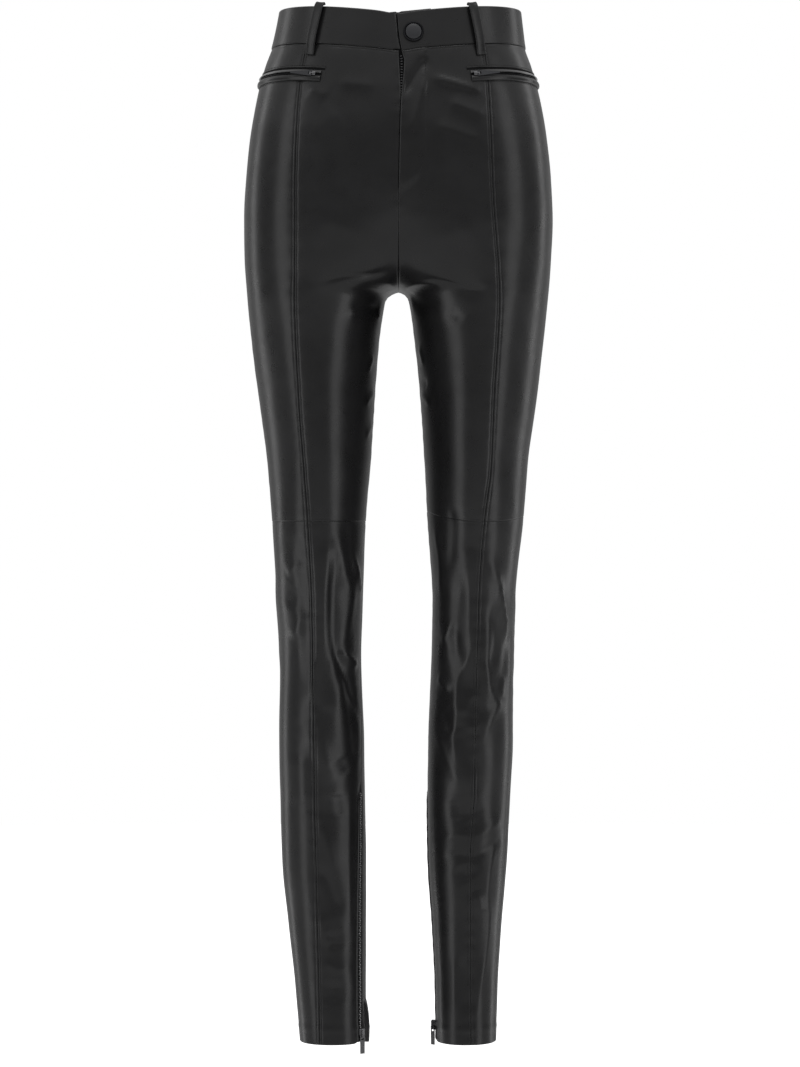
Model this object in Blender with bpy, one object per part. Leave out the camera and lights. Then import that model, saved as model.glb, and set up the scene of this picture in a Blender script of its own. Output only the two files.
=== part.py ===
"""High-waisted skinny leather leggings, hollow and filled out as if worn. The origin is the centre of the waist's
opening, +Z is up and the front faces -Y. The wearer's right leg is at -X. Sizes below are in millimetres."""

import math

import bmesh
import bpy
import numpy as np
from mathutils import Matrix, Vector

MM = 0.001
RIGHT, LEFT = -1, 1

# ---- driving sizes
LENGTH = 1072.5  # waist to hem
CROTCH = 295.0  # drop from the waist to the crotch
KNEE = 533.0  # drop to the knee seam
BAND = 38.5  # height of the waistband
LEATHER = 1.4
BAND_WALL = 2.6  # two layers of leather
SEAM_GAP = 0.3
BAND_PROUD = 0.7

# Sections by drop below the waist: how far each leg's outer side is from the centre plane, the depth in front of it and
# behind it, and the power of the section's curve, where 2 gives an ellipse and more gives squarer corners.
OUTLINE = {
    "drop": (0, 20, 43, 63, 95, 136, 178, 219, 261, 303, 344, 407, 469, 531, 615, 677, 760, 823, 885, 947, 1010, 1075),
    "right": (122.5, 126, 131.6, 139, 147.2, 154.4, 158.6, 160.7, 160.2, 157.4, 153.4, 145.1, 136.8, 131.6, 126.4,
              123.2, 124.3, 123.2, 121.2, 114.9, 107.6, 102.4),
    "left": (126.5, 128.4, 131.6, 138.5, 147.2, 154.4, 158.6, 160.5, 158.8, 155.5, 151.3, 144, 134.7, 129.5, 121.2,
             119.1, 119.1, 116, 112.8, 107.6, 103.5, 101.4),
    "front": (92, 94, 97, 100, 104, 107, 107.5, 106, 100.5, 94, 90.5, 86, 81, 75, 64.5, 58, 53, 49, 46, 43, 41, 40),
    "back": (88, 90, 93, 98, 107, 118, 126, 128, 122, 108, 96, 83, 72, 64, 60, 62, 67, 66, 60, 52, 47, 46),
    "middle": (0, 1, 2, 4, 6, 8, 9, 9, 8, 6, 4, 1, -3, -5, -2, 2, 7, 8, 7, 5, 3, 3),
    "power": (2.2, 2.25, 2.3, 2.35, 2.45, 2.55, 2.6, 2.55, 2.35, 2.05, 1.85, 1.78, 1.78, 1.85, 1.95, 2, 2.05, 2.05,
              2.05, 2.05, 2.05, 2.05),
}
# How far each leg's inner side is from the centre plane. Above the crotch the two sections cross it and merge.
INSIDE = {
    "drop": (0, 95, 178, 225, 255, 275, 288, 294.3, 298.5, 303, 313, 344, 407, 469, 531, 615, 677, 760, 823, 885, 947,
             1010, 1075),
    "right": (-60, -64, -64, -54, -40, -25, -9, 2.6, 9.5, 13, 15, 19.2, 24.4, 28.6, 33.8, 36.9, 39, 35.9, 34.8, 33.8,
              33.8, 33.8, 33.8),
    "left": (-60, -64, -64, -54, -40, -25, -9, 2.6, 8, 10, 12, 16.1, 22.4, 26.5, 29.6, 34.8, 33.8, 30.7, 29.6, 30.7,
             34.8, 38, 39),
}
# How widely the two legs' sections blend into each other.
BLEND = {"drop": (0, 219, 282, 303, 400), "reach": (9, 10, 5, 4, 4)}
# The long front seam's distance from the centre plane.
FRONT_SEAM = {
    "drop": (37, 77, 122, 198, 302, 406, 475, 532, 613, 716, 820, 875, 1073),
    "right": (92, 100, 104, 106, 106, 102, 97, 93, 89, 87, 86, 85, 81),
    "left": (85, 91, 94, 97, 103, 98, 95, 88, 82, 79.5, 77.5, 74, 74.5),
}
# Angles round a leg, in degrees: 0 points at the other leg, 90 to the front, 180 outwards and 270 to the back.
OUTSEAM = {
    "drop": (37, 300, 407, 475, 540, 740, 820, 875, 1073),
    "right": (180, 180, 175, 175, 188, 198, 203, 205, 206),
    "left": (180, 182, 185, 186, 186, 172, 159, 154, 151),
}
INSEAM = {
    "drop": (300, 407, 540, 615, 740, 820, 875, 1073),
    "right": (0, 0, 4, 10, 22, 31, 34, 39.5),
    "left": (0, 0, 0, 1, 2, 3, 4, 4),
}
# The largest folds: soft ridges and troughs from one place to another on a leg, by angle and drop.
FOLDS = {
    "right": (
        # angle and drop at each end, half width, height
        (84, 560, 96, 720, 9, 2.2),
        (108, 548, 100, 700, 8, -2.0),
        (40, 575, 66, 665, 10, 2.2),
        (58, 690, 42, 780, 10, -2.0),
        (104, 740, 76, 800, 10, 1.8),
        (262, 505, 286, 545, 12, -2.6),
        (250, 560, 296, 600, 11, 2.4),
        (222, 640, 214, 760, 12, -1.8),
        (28, 318, 62, 322, 7, -2.2),
        (377, 1026, 384, 1096, 10, 5.5),
    ),
    "left": (
        (84, 560, 96, 690, 9, 2.0),
        (66, 640, 92, 735, 9, -2.2),
        (112, 600, 98, 735, 9, 2.2),
        (140, 640, 122, 720, 11, -1.8),
        (70, 760, 98, 830, 10, 1.8),
        (256, 510, 284, 540, 12, -2.6),
        (246, 575, 292, 605, 11, 2.4),
        (226, 660, 216, 770, 12, -1.8),
        (24, 306, 60, 316, 7, -2.0),
    ),
}
# Drops between which a row's inner end runs along the crotch seam instead of straight down.
RISE_START, RISE_END = 120.0, 300.0
# The two fronts' edges above the fly's end, from the centre plane to the wearer's left.
FLY = {
    "drop": (17.6, 40, 57.8, 66, 106, 160, 197),
    "left": (-1.5, 0.5, 3.6, 5.6, 2.6, 0.6, 0),
    "right": (0.5, 0.5, 0.5, 0.8, 2.6, 0.6, 0),
}
DIP_FRONT, DIP_SIDE = 17.6, 4.3  # how much lower the waist is there than at the back
ZIP_TOP = 812.0  # drop to the top of each ankle zip
ZIP_GAPE = 6.5  # width between the leather's edges along an ankle zip
TAPE_WIDTH, ANKLE_RADIUS = 22.0, 38.0
CENTRE_FRONT = math.radians(62)  # roughly, round a leg's centre in the trunk
# The pieces round a leg: the seams that each runs between, and its columns of points.
FRONT_PANELS = (("front", "seam", 7), ("seam", "out", 6))
BACK_PANEL = (("out", "back", 12),)

UNDERLAP = 33.0  # how far the right waistband runs on under the left one
UNDERLAP_RISE = 1.2  # how much higher its top is there
BUTTON_X, BUTTON_DROP, BUTTON_RADIUS = 15.2, 36.8, 10.5
LOOP_WIDTH, LOOP_THICK = 10.0, 2.2
# Name, front (-1) or back (1), and the distance from the centre plane at the top and the bottom.
LOOPS = (
    ("loop_front_right", -1, -78.5, -90),
    ("loop_front_left", -1, 74, 84),
    ("loop_back_right", 1, -74, -80),
    ("loop_back_left", 1, 74, 80),
    ("loop_back_centre", 1, 0, 0),
)
# Level and height above the form, along a loop's middle.
LOOP_PATH = ((-1.6, 0.2), (-2.6, 2.2), (0.5, 4.2), (8, 5.2), (28, 5.2), (38, 4.4), (44, 3.0), (48, 2.0), (51, 1.75))
TAPE = 0.8
FLY_TAPE = {"from": -9.0, "to": 13.0, "top": 60.0, "bottom": 194.0}
WELT = 1.3
POCKET_DROP = 76.5
POCKET_INNER = {"right": 77.7, "left": 72.6}  # the slit's inner end, from the centre plane
POCKET_SLIDER = {"right": 86.0, "left": 78.5}
POCKET_END = math.radians(178)  # the slit's outer end, round the leg
POCKET_SAG = 3.5  # how much lower the slit's inner end is than its middle
POCKET_TILT = 7.0  # degrees by which the pocket tabs' tips are higher than their sliders
SLIDER_DROP = {"right": 1062.5, "left": 1056.0}
SLIDER_HALF = 3.3  # half an ankle slider's width and a little more
SLIDER_TURN = {"right": 38.0, "left": 43.0}  # degrees by which an ankle slider is twisted to the front
HEM_RISE = 5.5  # how much shorter the panels are at the zip, where their corners are turned in
# Each kind of zip: the slider's size against a large one's, its body's thickness, and the tab's length, its width at the
# slider and at its free end, and the width of the rim round its eye.
ZIPS = {
    "pocket": {"size": 0.62, "body": 0.9, "length": 23.0, "width": 6.4, "tip": 1.4, "rim": 1.7},
    "ankle": {"size": 1.0, "body": 2.6, "length": 19.0, "width": 5.2, "tip": 4.8, "rim": 1.0},
}


def curve(knots, values):
    """A smooth curve through the values that never overshoots them (Fritsch and Carlson's slopes)."""
    knots, values = np.asarray(knots, float), np.asarray(values, float)
    widths = np.diff(knots)
    rises = np.diff(values) / widths
    slopes = np.zeros(len(knots))
    same = rises[:-1] * rises[1:] > 0
    first, second = 2 * widths[1:] + widths[:-1], widths[1:] + 2 * widths[:-1]
    with np.errstate(divide="ignore", invalid="ignore"):
        slopes[1:-1] = np.where(same, (first + second) / (first / rises[:-1] + second / rises[1:]), 0)
    slopes[0], slopes[-1] = rises[0], rises[-1]

    def at(place):
        place = np.clip(np.asarray(place, float), knots[0], knots[-1])
        i = np.clip(np.searchsorted(knots, place, side="right") - 1, 0, len(widths) - 1)
        t = (place - knots[i]) / widths[i]
        return (
            values[i] * (1 + 2 * t) * (1 - t) ** 2
            + slopes[i] * widths[i] * t * (1 - t) ** 2
            + values[i + 1] * t * t * (3 - 2 * t)
            + slopes[i + 1] * widths[i] * t * t * (t - 1)
        )

    return at


def curves(table):
    return {name: curve(table["drop"], column) for name, column in table.items() if name != "drop"}


outline, inside, blend = curves(OUTLINE), curves(INSIDE), curves(BLEND)["reach"]
front_seam, outseam, inseam = curves(FRONT_SEAM), curves(OUTSEAM), curves(INSEAM)
fly = curves(FLY)


# ---- the filled-out form: two legs' sections, smoothly merged


def name_of(side):
    return "right" if side == RIGHT else "left"


def axis_of(side, drop):
    """Centre of a leg's section: x, and y at its widest."""
    name = name_of(side)
    return side * (outline[name](drop) + inside[name](drop)) / 2, outline["middle"](drop)


def leg_distance(side, x, y, drop):
    """How far a point is outside one leg's section, measured from its centre."""
    name = name_of(side)
    half = (outline[name](drop) - inside[name](drop)) / 2
    centre, middle = axis_of(side, drop)
    depth = np.where(y < middle, outline["front"](drop) + middle, outline["back"](drop) - middle)
    power = outline["power"](drop)
    reach = (np.abs((x - centre) / half) ** power + np.abs((y - middle) / depth) ** power) ** (1 / power)
    return np.hypot(x - centre, y - middle) * (1 - 1 / np.maximum(reach, 1e-6))


def distance(points):
    """Roughly how far points (x, y, z) are outside the form: below zero inside it."""
    x, y, drop = points[..., 0], points[..., 1], -points[..., 2]
    right, left = leg_distance(RIGHT, x, y, drop), leg_distance(LEFT, x, y, drop)
    reach, near = blend(drop), np.minimum(right, left)
    return near - reach * np.log(np.exp((near - right) / reach) + np.exp((near - left) / reach))


def gradient(points):
    step = 0.05
    slopes = []
    for axis in np.eye(3) * step:
        slopes.append((distance(points + axis) - distance(points - axis)) / (2 * step))
    return np.stack(slopes, axis=-1)


def onto_form(points):
    """Moves points onto the form along its normals."""
    for _ in range(8):
        slope = gradient(points)
        size = np.maximum((slope**2).sum(-1, keepdims=True), 1e-3)
        points = points - np.clip(distance(points)[..., None] / size, -30, 30) * slope
    return points


def solve(inner, outer):
    """The points between inner and outer ones where the form's surface is crossed."""
    low, high = np.zeros(len(inner)), np.ones(len(inner))
    for _ in range(40):
        middle = (low + high) / 2
        outside = distance(inner + (outer - inner) * middle[:, None]) > 0
        high, low = np.where(outside, middle, high), np.where(outside, low, middle)
    return inner + (outer - inner) * high[:, None]


def rise_curve(facing):
    """Points down the crotch seam, on the front (-1) or the back (1), and how far along each is, from 0 at RISE_START
    to 1 at the crotch."""
    turn = np.linspace(0, math.pi / 2, 60)
    middle = outline["middle"](CROTCH)
    inner = np.tile([0.0, middle, -RISE_START], (len(turn), 1))
    way = np.stack([0 * turn, facing * np.cos(turn), -np.sin(turn)], axis=-1)
    points = solve(inner, inner + 260 * way)
    along = np.concatenate([[0], np.cumsum(np.linalg.norm(np.diff(points, axis=0), axis=1))])
    return points, along / along[-1]


RISE = {facing: rise_curve(facing) for facing in (-1, 1)}


def place(x, drop, facing):
    """Points on the form's front (-1) or back (1) at a distance x from the centre plane."""
    x, drop = np.broadcast_arrays(np.asarray(x, float), np.asarray(drop, float))
    inner = np.stack([x, 0 * x + outline["middle"](CROTCH), -drop], axis=-1)
    return solve(inner.reshape(-1, 3), (inner + [0, facing * 200.0, 0]).reshape(-1, 3)).reshape(inner.shape)


def row_end(side, level, facing):
    """Where the row at a level ends at the centre plane or the inseam, on the front or the back."""
    level = np.asarray(level, float)
    points, along = RISE[facing]
    rise = np.clip((level - RISE_START) / (RISE_END - RISE_START), 0, 1)
    on_rise = np.stack([np.interp(rise, along, points[:, i]) for i in range(3)], axis=-1)
    above = place(0, np.minimum(level, RISE_START), facing)
    leg = np.maximum(level, RISE_END)
    below = polar(side, np.radians(inseam[name_of(side)](leg)), leg + 0 * leg)
    low = np.clip((level - RISE_END) / 100, 0, 1)[:, None]
    crotch = points[-1]
    # The inseam leaves the crotch along the arch and meets its own angle lower down.
    arch = below + (crotch - polar(side, np.zeros(1), np.array([RISE_END]))[0]) * (1 - low) ** 3
    found = np.where((level < RISE_START)[:, None], above, on_rise)
    found = np.where((level > RISE_END)[:, None], onto_form(arch), found)
    if facing > 0:
        return found
    across = fly["left"](level) if side == LEFT else np.minimum(fly["right"](level), fly["left"](level))
    return np.where((np.abs(across) > 0.01)[:, None], place(found[:, 0] + across, -found[:, 2], -1), found)


def polar(side, angle, drop):
    """Points on one leg's own section, by angle round its centre and drop."""
    centre, middle = axis_of(side, drop)
    way = np.stack([-side * np.cos(angle), -np.sin(angle)], axis=-1)
    far = 400.0
    x, y = centre + far * way[..., 0], middle + far * way[..., 1]
    radius = far - leg_distance(side, x, y, drop)
    return np.stack([centre + radius * way[..., 0], middle + radius * way[..., 1], -drop], axis=-1)


def angle_of(side, points):
    """Angle of points round their leg's centre, from 0 to a full turn."""
    centre, middle = axis_of(side, -points[..., 2])
    return np.arctan2(-(points[..., 1] - middle), -side * (points[..., 0] - centre)) % (2 * math.pi)


def angle_at(side, apart, level):
    """Angle of the place on a leg's front that is this far from the centre plane."""
    name = name_of(side)
    half = (outline[name](level) - inside[name](level)) / 2
    centre, middle = axis_of(side, level)
    across = (apart - side * centre) / half
    depth = outline["front"](level) + middle
    power = outline["power"](level)
    ahead = depth * (1 - np.abs(across) ** power) ** (1 / power)
    return np.arctan2(ahead, -across * half)


def folds(side, angle, drop):
    """Height of the largest folds: each is highest along its line and fades to its ends."""
    height = np.zeros(np.broadcast(angle, drop).shape)
    centre_radius = 60.0  # turns an angle into a distance round the leg
    for start_angle, start_drop, end_angle, end_drop, width, tall in FOLDS[name_of(side)]:
        start = np.array([math.radians(start_angle) * centre_radius, start_drop])
        run = np.array([math.radians(end_angle) * centre_radius, end_drop]) - start
        place = np.stack([angle * centre_radius, drop + 0 * angle], axis=-1) - start
        along = (place @ run) / (run @ run)
        off = place - np.clip(along, 0, 1)[..., None] * run
        fade = np.clip(1 - (2 * along - 1) ** 2, 0, 1) ** 0.7
        height += tall * fade * np.exp(-((off**2).sum(-1)) / (width * width))
    return height


def relief(side, angle, level):
    """How much lower a row runs than its level, where the waist dips to the front, the knee seam bends and the hem
    rises to the zip. In the trunk 62 degrees is about the centre front and 298 the centre back."""
    ahead = np.clip((angle - CENTRE_FRONT) / (math.pi - CENTRE_FRONT), 0, 1)
    behind = np.clip((2 * math.pi - CENTRE_FRONT - angle) / (math.pi - CENTRE_FRONT), 0, 1)
    in_front = DIP_FRONT + (DIP_SIDE - DIP_FRONT) * np.sin(ahead * math.pi / 2)
    waist = np.where(angle < math.pi, in_front, DIP_SIDE * np.sin(behind * math.pi / 2))
    knee = -8 * np.cos(angle) ** 2 - 2.5 * np.cos(angle) if side == LEFT else 0 * angle
    from_zip = (angle - np.radians(inseam[name_of(side)](LENGTH)) + math.pi) % (2 * math.pi) - math.pi
    hem = -HEM_RISE * np.exp(-((from_zip * ANKLE_RADIUS / 5) ** 2)) * np.clip((level - LENGTH) / 26 + 1, 0, 1) ** 2
    waist = waist * np.exp(-((np.maximum(level - BAND, 0) / 90) ** 2))
    return waist + knee * np.exp(-(((level - KNEE) / 60) ** 2)) + hem


def front_seam_angle(side, level, at_front, lower):
    """Angle of the long front seam on each row. lower is how far the row's front end lies below its level."""
    drop = level
    for _ in range(4):
        angle = angle_at(side, front_seam[name_of(side)](drop), drop)
        ahead = np.clip((angle - at_front) / (math.pi - at_front), 0, 1)
        drop = level + relief(side, angle, level) + lower * np.cos(ahead * math.pi / 2) ** 2
    return angle


def surface(side, share, level, first, last):
    """Points and normals on one side of the garment. level is the row, by its drop at the outer side, and share goes
    from 0 to 1 between two seams: "front" and "back" are the centre seams, or the inseam below the crotch."""
    level, share = np.asarray(level, float), np.asarray(share, float)
    full = 2 * math.pi
    at_inseam = np.radians(inseam[name_of(side)](level))
    front_row = level + relief(side, np.where(level < RISE_END, CENTRE_FRONT, at_inseam), level)
    back_row = level + relief(side, full + np.where(level < RISE_END, -CENTRE_FRONT, at_inseam), level)
    starts, ends = row_end(side, front_row, -1), row_end(side, back_row, 1)
    at_front, at_back = angle_of(side, starts), angle_of(side, ends)
    at_front = np.where(at_front > math.pi, at_front - full, at_front)
    at_back = np.where(level > RISE_END, at_front + full, np.where(at_back < math.pi, at_back + full, at_back))
    seams = {
        "front": at_front,
        "seam": front_seam_angle(side, level, at_front, -starts[:, 2] - front_row),
        "out": np.radians(outseam[name_of(side)](level)),
        "back": at_back,
    }
    at_front, at_back = at_front[:, None], at_back[:, None]
    angle = seams[first][:, None] + (seams[last] - seams[first])[:, None] * share[None, :]
    ahead = np.clip((angle - at_front) / (math.pi - at_front), 0, 1)
    behind = np.clip((at_back - angle) / (at_back - math.pi), 0, 1)
    drop = level[:, None] + relief(side, angle, level[:, None])
    drop = drop + (-starts[:, 2] - front_row)[:, None] * np.cos(ahead * math.pi / 2) ** 2
    drop = drop + (-ends[:, 2] - back_row)[:, None] * np.cos(behind * math.pi / 2) ** 2
    points = polar(side, angle, drop)
    for end, near in ((starts, ahead), (ends, behind)):
        at_end = polar(side, angle_of(side, end), -end[:, 2])
        points = points + (end - at_end)[:, None, :] * np.clip(1 - near / 0.8, 0, 1)[..., None] ** 2
    points[..., 0] = side * np.maximum(side * points[..., 0], 0.5)
    points = onto_form(points)
    if first == "front" and share[0] == 0:
        points[:, 0] = starts
    if last == "back" and share[-1] == 1:
        points[:, -1] = ends
    normals = normals_at(points)
    return points + normals * folds(side, angle, drop)[..., None], normals


def normals_at(points):
    slope = gradient(points)
    return slope / np.linalg.norm(slope, axis=-1, keepdims=True)


def on_leg(side, angle, drop):
    """Points and normals by angle round a leg and drop, away from the centre plane."""
    angle, drop = np.broadcast_arrays(np.asarray(angle, float), np.asarray(drop, float))
    points = onto_form(polar(side, angle, drop))
    normals = normals_at(points)
    return points + normals * folds(side, angle, drop)[..., None], normals


def on_trunk(x, level, facing):
    """Points and normals on the front (-1) or back (1), by distance from the centre plane and level."""
    x, level = np.broadcast_arrays(np.asarray(x, float), np.asarray(level, float))
    points = place(x, level, facing)
    dips = [relief(side, angle_of(side, points), level) for side in (RIGHT, LEFT)]
    points = place(x, level + np.where(x < 0, *dips), facing)
    return points, normals_at(points)


# ---- solids


def material(name, colour, roughness, metallic=0.0):
    made = bpy.data.materials.new(name)
    made.use_nodes = True
    shader = made.node_tree.nodes["Principled BSDF"]
    shader.inputs["Base Color"].default_value = (*colour, 1)
    shader.inputs["Roughness"].default_value = roughness
    shader.inputs["Metallic"].default_value = metallic
    return made


def add_object(name, points, faces, finish):
    """A closed mesh from points in millimetres, its faces turned outwards."""
    work = bmesh.new()
    corners = [work.verts.new(Vector(point) * MM) for point in points]
    for face in faces:
        work.faces.new([corners[i] for i in face])
    bmesh.ops.recalc_face_normals(work, faces=work.faces)
    mesh = bpy.data.meshes.new(name)
    work.to_mesh(mesh)
    work.free()
    mesh.materials.append(finish)
    mesh.shade_smooth()
    mesh.set_sharp_from_angle(angle=math.radians(40))
    made = bpy.data.objects.new(name, mesh)
    bpy.context.scene.collection.objects.link(made)
    return made


def inset_edge(points, normals, edge, by):
    """Moves one edge of a grid of points inwards along the surface. edge is "first", "last", "top" or "bottom"."""
    flip = edge in ("first", "last")
    grid, normal = (points.swapaxes(0, 1), normals.swapaxes(0, 1)) if flip else (points, normals)
    row, inner = (0, 1) if edge in ("first", "top") else (-1, -2)
    line = np.gradient(grid[row], axis=0)
    inwards = np.cross(normal[row], line)
    inwards /= np.linalg.norm(inwards, axis=-1, keepdims=True)
    inwards *= np.sign((inwards * (grid[inner] - grid[row])).sum(-1, keepdims=True))
    grid = grid.copy()
    grid[row] += inwards * np.broadcast_to(np.asarray(by, float)[..., None], inwards.shape)
    return grid.swapaxes(0, 1) if flip else grid


def wall(name, points, normals, thick, finish):
    """A wall whose outer face is a grid of points and whose inner face lies thick below it."""
    rows, across = points.shape[:2]
    inner = points - normals * thick
    every = np.concatenate([points.reshape(-1, 3), inner.reshape(-1, 3)])
    below = rows * across
    faces = []
    for i in range(rows - 1):
        for j in range(across - 1):
            a = i * across + j
            quad = (a, a + 1, a + across + 1, a + across)
            faces += [quad, tuple(below + k for k in reversed(quad))]
    rim = (
        [j for j in range(across)]
        + [i * across + across - 1 for i in range(1, rows)]
        + [(rows - 1) * across + j for j in range(across - 2, -1, -1)]
        + [i * across for i in range(rows - 2, 0, -1)]
    )
    for a, b in zip(rim, rim[1:] + rim[:1]):
        faces.append((b, a, below + a, below + b))
    return add_object(name, every, faces, finish)


def joined_surface(side, levels, pieces):
    """Neighbouring pieces' points and normals as one grid."""
    grids = [surface(side, np.linspace(0, 1, across), levels, first, last) for first, last, across in pieces]
    return [np.hstack([grid[i] if j == 0 else grid[i][:, 1:] for j, grid in enumerate(grids)]) for i in (0, 1)]


def panel(name, side, piece, levels, insets):
    points, normals = joined_surface(side, levels, [piece])
    for edge, by in insets.items():
        points = inset_edge(points, normals, edge, by)
    wall(name, points, normals, LEATHER, leather)


def build_leg(side):
    """The six panels of one leg. Panels that meet have the same columns, so that their seam keeps its gap."""
    name, half = name_of(side), SEAM_GAP / 2
    upper = np.concatenate([np.linspace(BAND, RISE_START, 4), np.linspace(RISE_START, 300, 9)[1:],
                            np.linspace(300, KNEE, 10)[1:]])
    lower = np.linspace(KNEE, LENGTH, 22)
    gape = np.where(lower > ZIP_TOP, ZIP_GAPE / 2, half)
    seams = {"first": half, "last": half, "top": half, "bottom": half}
    hemmed = {"first": half, "last": half, "top": half}
    centre, outer, back = *FRONT_PANELS, *BACK_PANEL
    panel(f"front_centre_{name}", side, centre, upper, seams)
    panel(f"front_side_{name}", side, outer, upper, seams)
    panel(f"back_{name}", side, back, upper, seams)
    panel(f"shin_inner_{name}", side, centre, lower, {**hemmed, "first": gape})
    panel(f"shin_outer_{name}", side, outer, lower, hemmed)
    panel(f"calf_{name}", side, back, lower, {**hemmed, "last": gape})


def build_waistband():
    """Two fronts and a back. The right front runs on under the left one's end, which carries the button."""
    levels = np.array([0.0, BAND / 2, BAND])
    half = SEAM_GAP / 2
    points, normals = joined_surface(LEFT, levels, FRONT_PANELS)
    points = inset_edge(points + normals * BAND_PROUD, normals, "bottom", half)
    points = inset_edge(points, normals, "last", half)
    wall("waistband_left", points, normals, BAND_WALL, leather)

    across = np.linspace(UNDERLAP, -3, 5)[None, :]
    higher = UNDERLAP_RISE * np.clip((across + 1) / 4, 0, 1) * (1 - levels[:, None] / BAND)
    ends, end_normals = on_trunk(across, levels[:, None] - higher, -1)
    rest, rest_normals = (grid[:, 1:] for grid in joined_surface(RIGHT, levels, FRONT_PANELS))
    points, normals = np.hstack([ends, rest]), np.hstack([end_normals, rest_normals])
    under = BAND_PROUD - BAND_WALL - SEAM_GAP
    lift = np.where(np.arange(points.shape[1]) < ends.shape[1], under, BAND_PROUD)
    points = inset_edge(points + normals * lift[None, :, None], normals, "bottom", half)
    points = inset_edge(points, normals, "last", half)
    wall("waistband_right", points, normals, BAND_WALL, leather)

    right, right_normals = joined_surface(RIGHT, levels, BACK_PANEL)
    left, left_normals = (grid[:, -2::-1] for grid in joined_surface(LEFT, levels, BACK_PANEL))
    points, normals = np.hstack([right, left]), np.hstack([right_normals, left_normals])
    points = points + normals * BAND_PROUD
    for edge in ("first", "last", "bottom"):
        points = inset_edge(points, normals, edge, half)
    wall("waistband_back", points, normals, BAND_WALL, leather)


def strap(name, centres, normals, width, thick, finish):
    """A flat strip along centre points, its face turned to the normals."""
    along = np.gradient(centres, axis=0)
    along /= np.linalg.norm(along, axis=1, keepdims=True)
    across = np.cross(centres[-1] - centres[3], normals)
    across /= np.linalg.norm(across, axis=1, keepdims=True)
    outward = np.cross(across, along)
    rows = [centres + outward * thick / 2 + across * width * side for side in (-0.5, 0, 0.5)]
    return wall(name, np.stack(rows, axis=1), np.stack([outward] * 3, axis=1), thick, finish)


def build_loops():
    """Each loop folds over the band's top, stands off it and is sewn to the panel below it."""
    for name, facing, top, bottom in LOOPS:
        levels, lifts = np.array(LOOP_PATH).T
        x = top + (bottom - top) * (levels - levels[0]) / (levels[-1] - levels[0])
        points, normals = on_trunk(x, levels, facing)
        strap(name, points + normals * lifts[:, None], normals, LOOP_WIDTH, LOOP_THICK, leather)


def strip(name, points, normals, lift, thick, finish):
    return wall(name, points + normals * lift, normals, thick, finish)


def build_fly():
    across = np.linspace(FLY_TAPE["from"], FLY_TAPE["to"], 4)
    x, drop = np.meshgrid(across, np.linspace(FLY_TAPE["top"], FLY_TAPE["bottom"], 8))
    points = place(x, drop, -1)
    strip("fly_zip", points, normals_at(points), -LEATHER - TAPE, TAPE, cloth)


def frame_at(point, normal, along):
    """A matrix whose Z is the normal and whose X runs along the surface."""
    z = Vector(normal).normalized()
    x = Vector(along)
    x = (x - z * x.dot(z)).normalized()
    y = z.cross(x)
    made = Matrix((x, y, z)).transposed().to_4x4()
    made.translation = Vector(point) * MM
    return made


def build_button():
    point = place(BUTTON_X, BUTTON_DROP, -1)
    normal = normals_at(point)
    profile = [(0, 0), (BUTTON_RADIUS - 0.8, 0), (BUTTON_RADIUS, 0.8), (BUTTON_RADIUS - 0.4, 2.4),
               (BUTTON_RADIUS - 2.2, 2.6), (BUTTON_RADIUS - 3.2, 3.4), (4, 4.2), (0, 4.4)]
    turns = 24
    corners, faces = [(0, 0, 0), (0, 0, profile[-1][1])], []
    ring = profile[1:-1]
    for turn in range(turns):
        angle = 2 * math.pi * turn / turns
        corners += [(radius * math.cos(angle), radius * math.sin(angle), height) for radius, height in ring]
        here, there = 2 + turn * len(ring), 2 + (turn + 1) % turns * len(ring)
        faces.append((0, there, here))
        faces += [(here + i, there + i, there + i + 1, here + i + 1) for i in range(len(ring) - 1)]
        faces.append((1, here + len(ring) - 1, there + len(ring) - 1))
    made = add_object("waist_button", corners, faces, leather)
    made.matrix_world = frame_at(point + normal * (BAND_PROUD + SEAM_GAP), normal, (1, 0, 0))


def block(name, low, high, finish):
    """A box between two corners, in its own frame."""
    work = bmesh.new()
    bmesh.ops.create_cube(work, size=1)
    for corner in work.verts:
        for axis in range(3):
            corner.co[axis] = (low[axis] if corner.co[axis] < 0 else high[axis]) * MM
    mesh = bpy.data.meshes.new(name)
    work.to_mesh(mesh)
    work.free()
    mesh.materials.append(finish)
    made = bpy.data.objects.new(name, mesh)
    bpy.context.scene.collection.objects.link(made)
    return made


def joined(name, boxes, finish):
    """Overlapping boxes made into one solid."""
    made = block(name, *boxes[0], finish)
    for index, box in enumerate(boxes[1:]):
        helper = block(f"{name}_add_{index}", *box, finish)
        helper.hide_render = True
        helper.display_type = "WIRE"
        helper.parent = made
        union = made.modifiers.new("union", "BOOLEAN")
        union.operation = "UNION"
        union.object = helper
    return made


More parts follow.
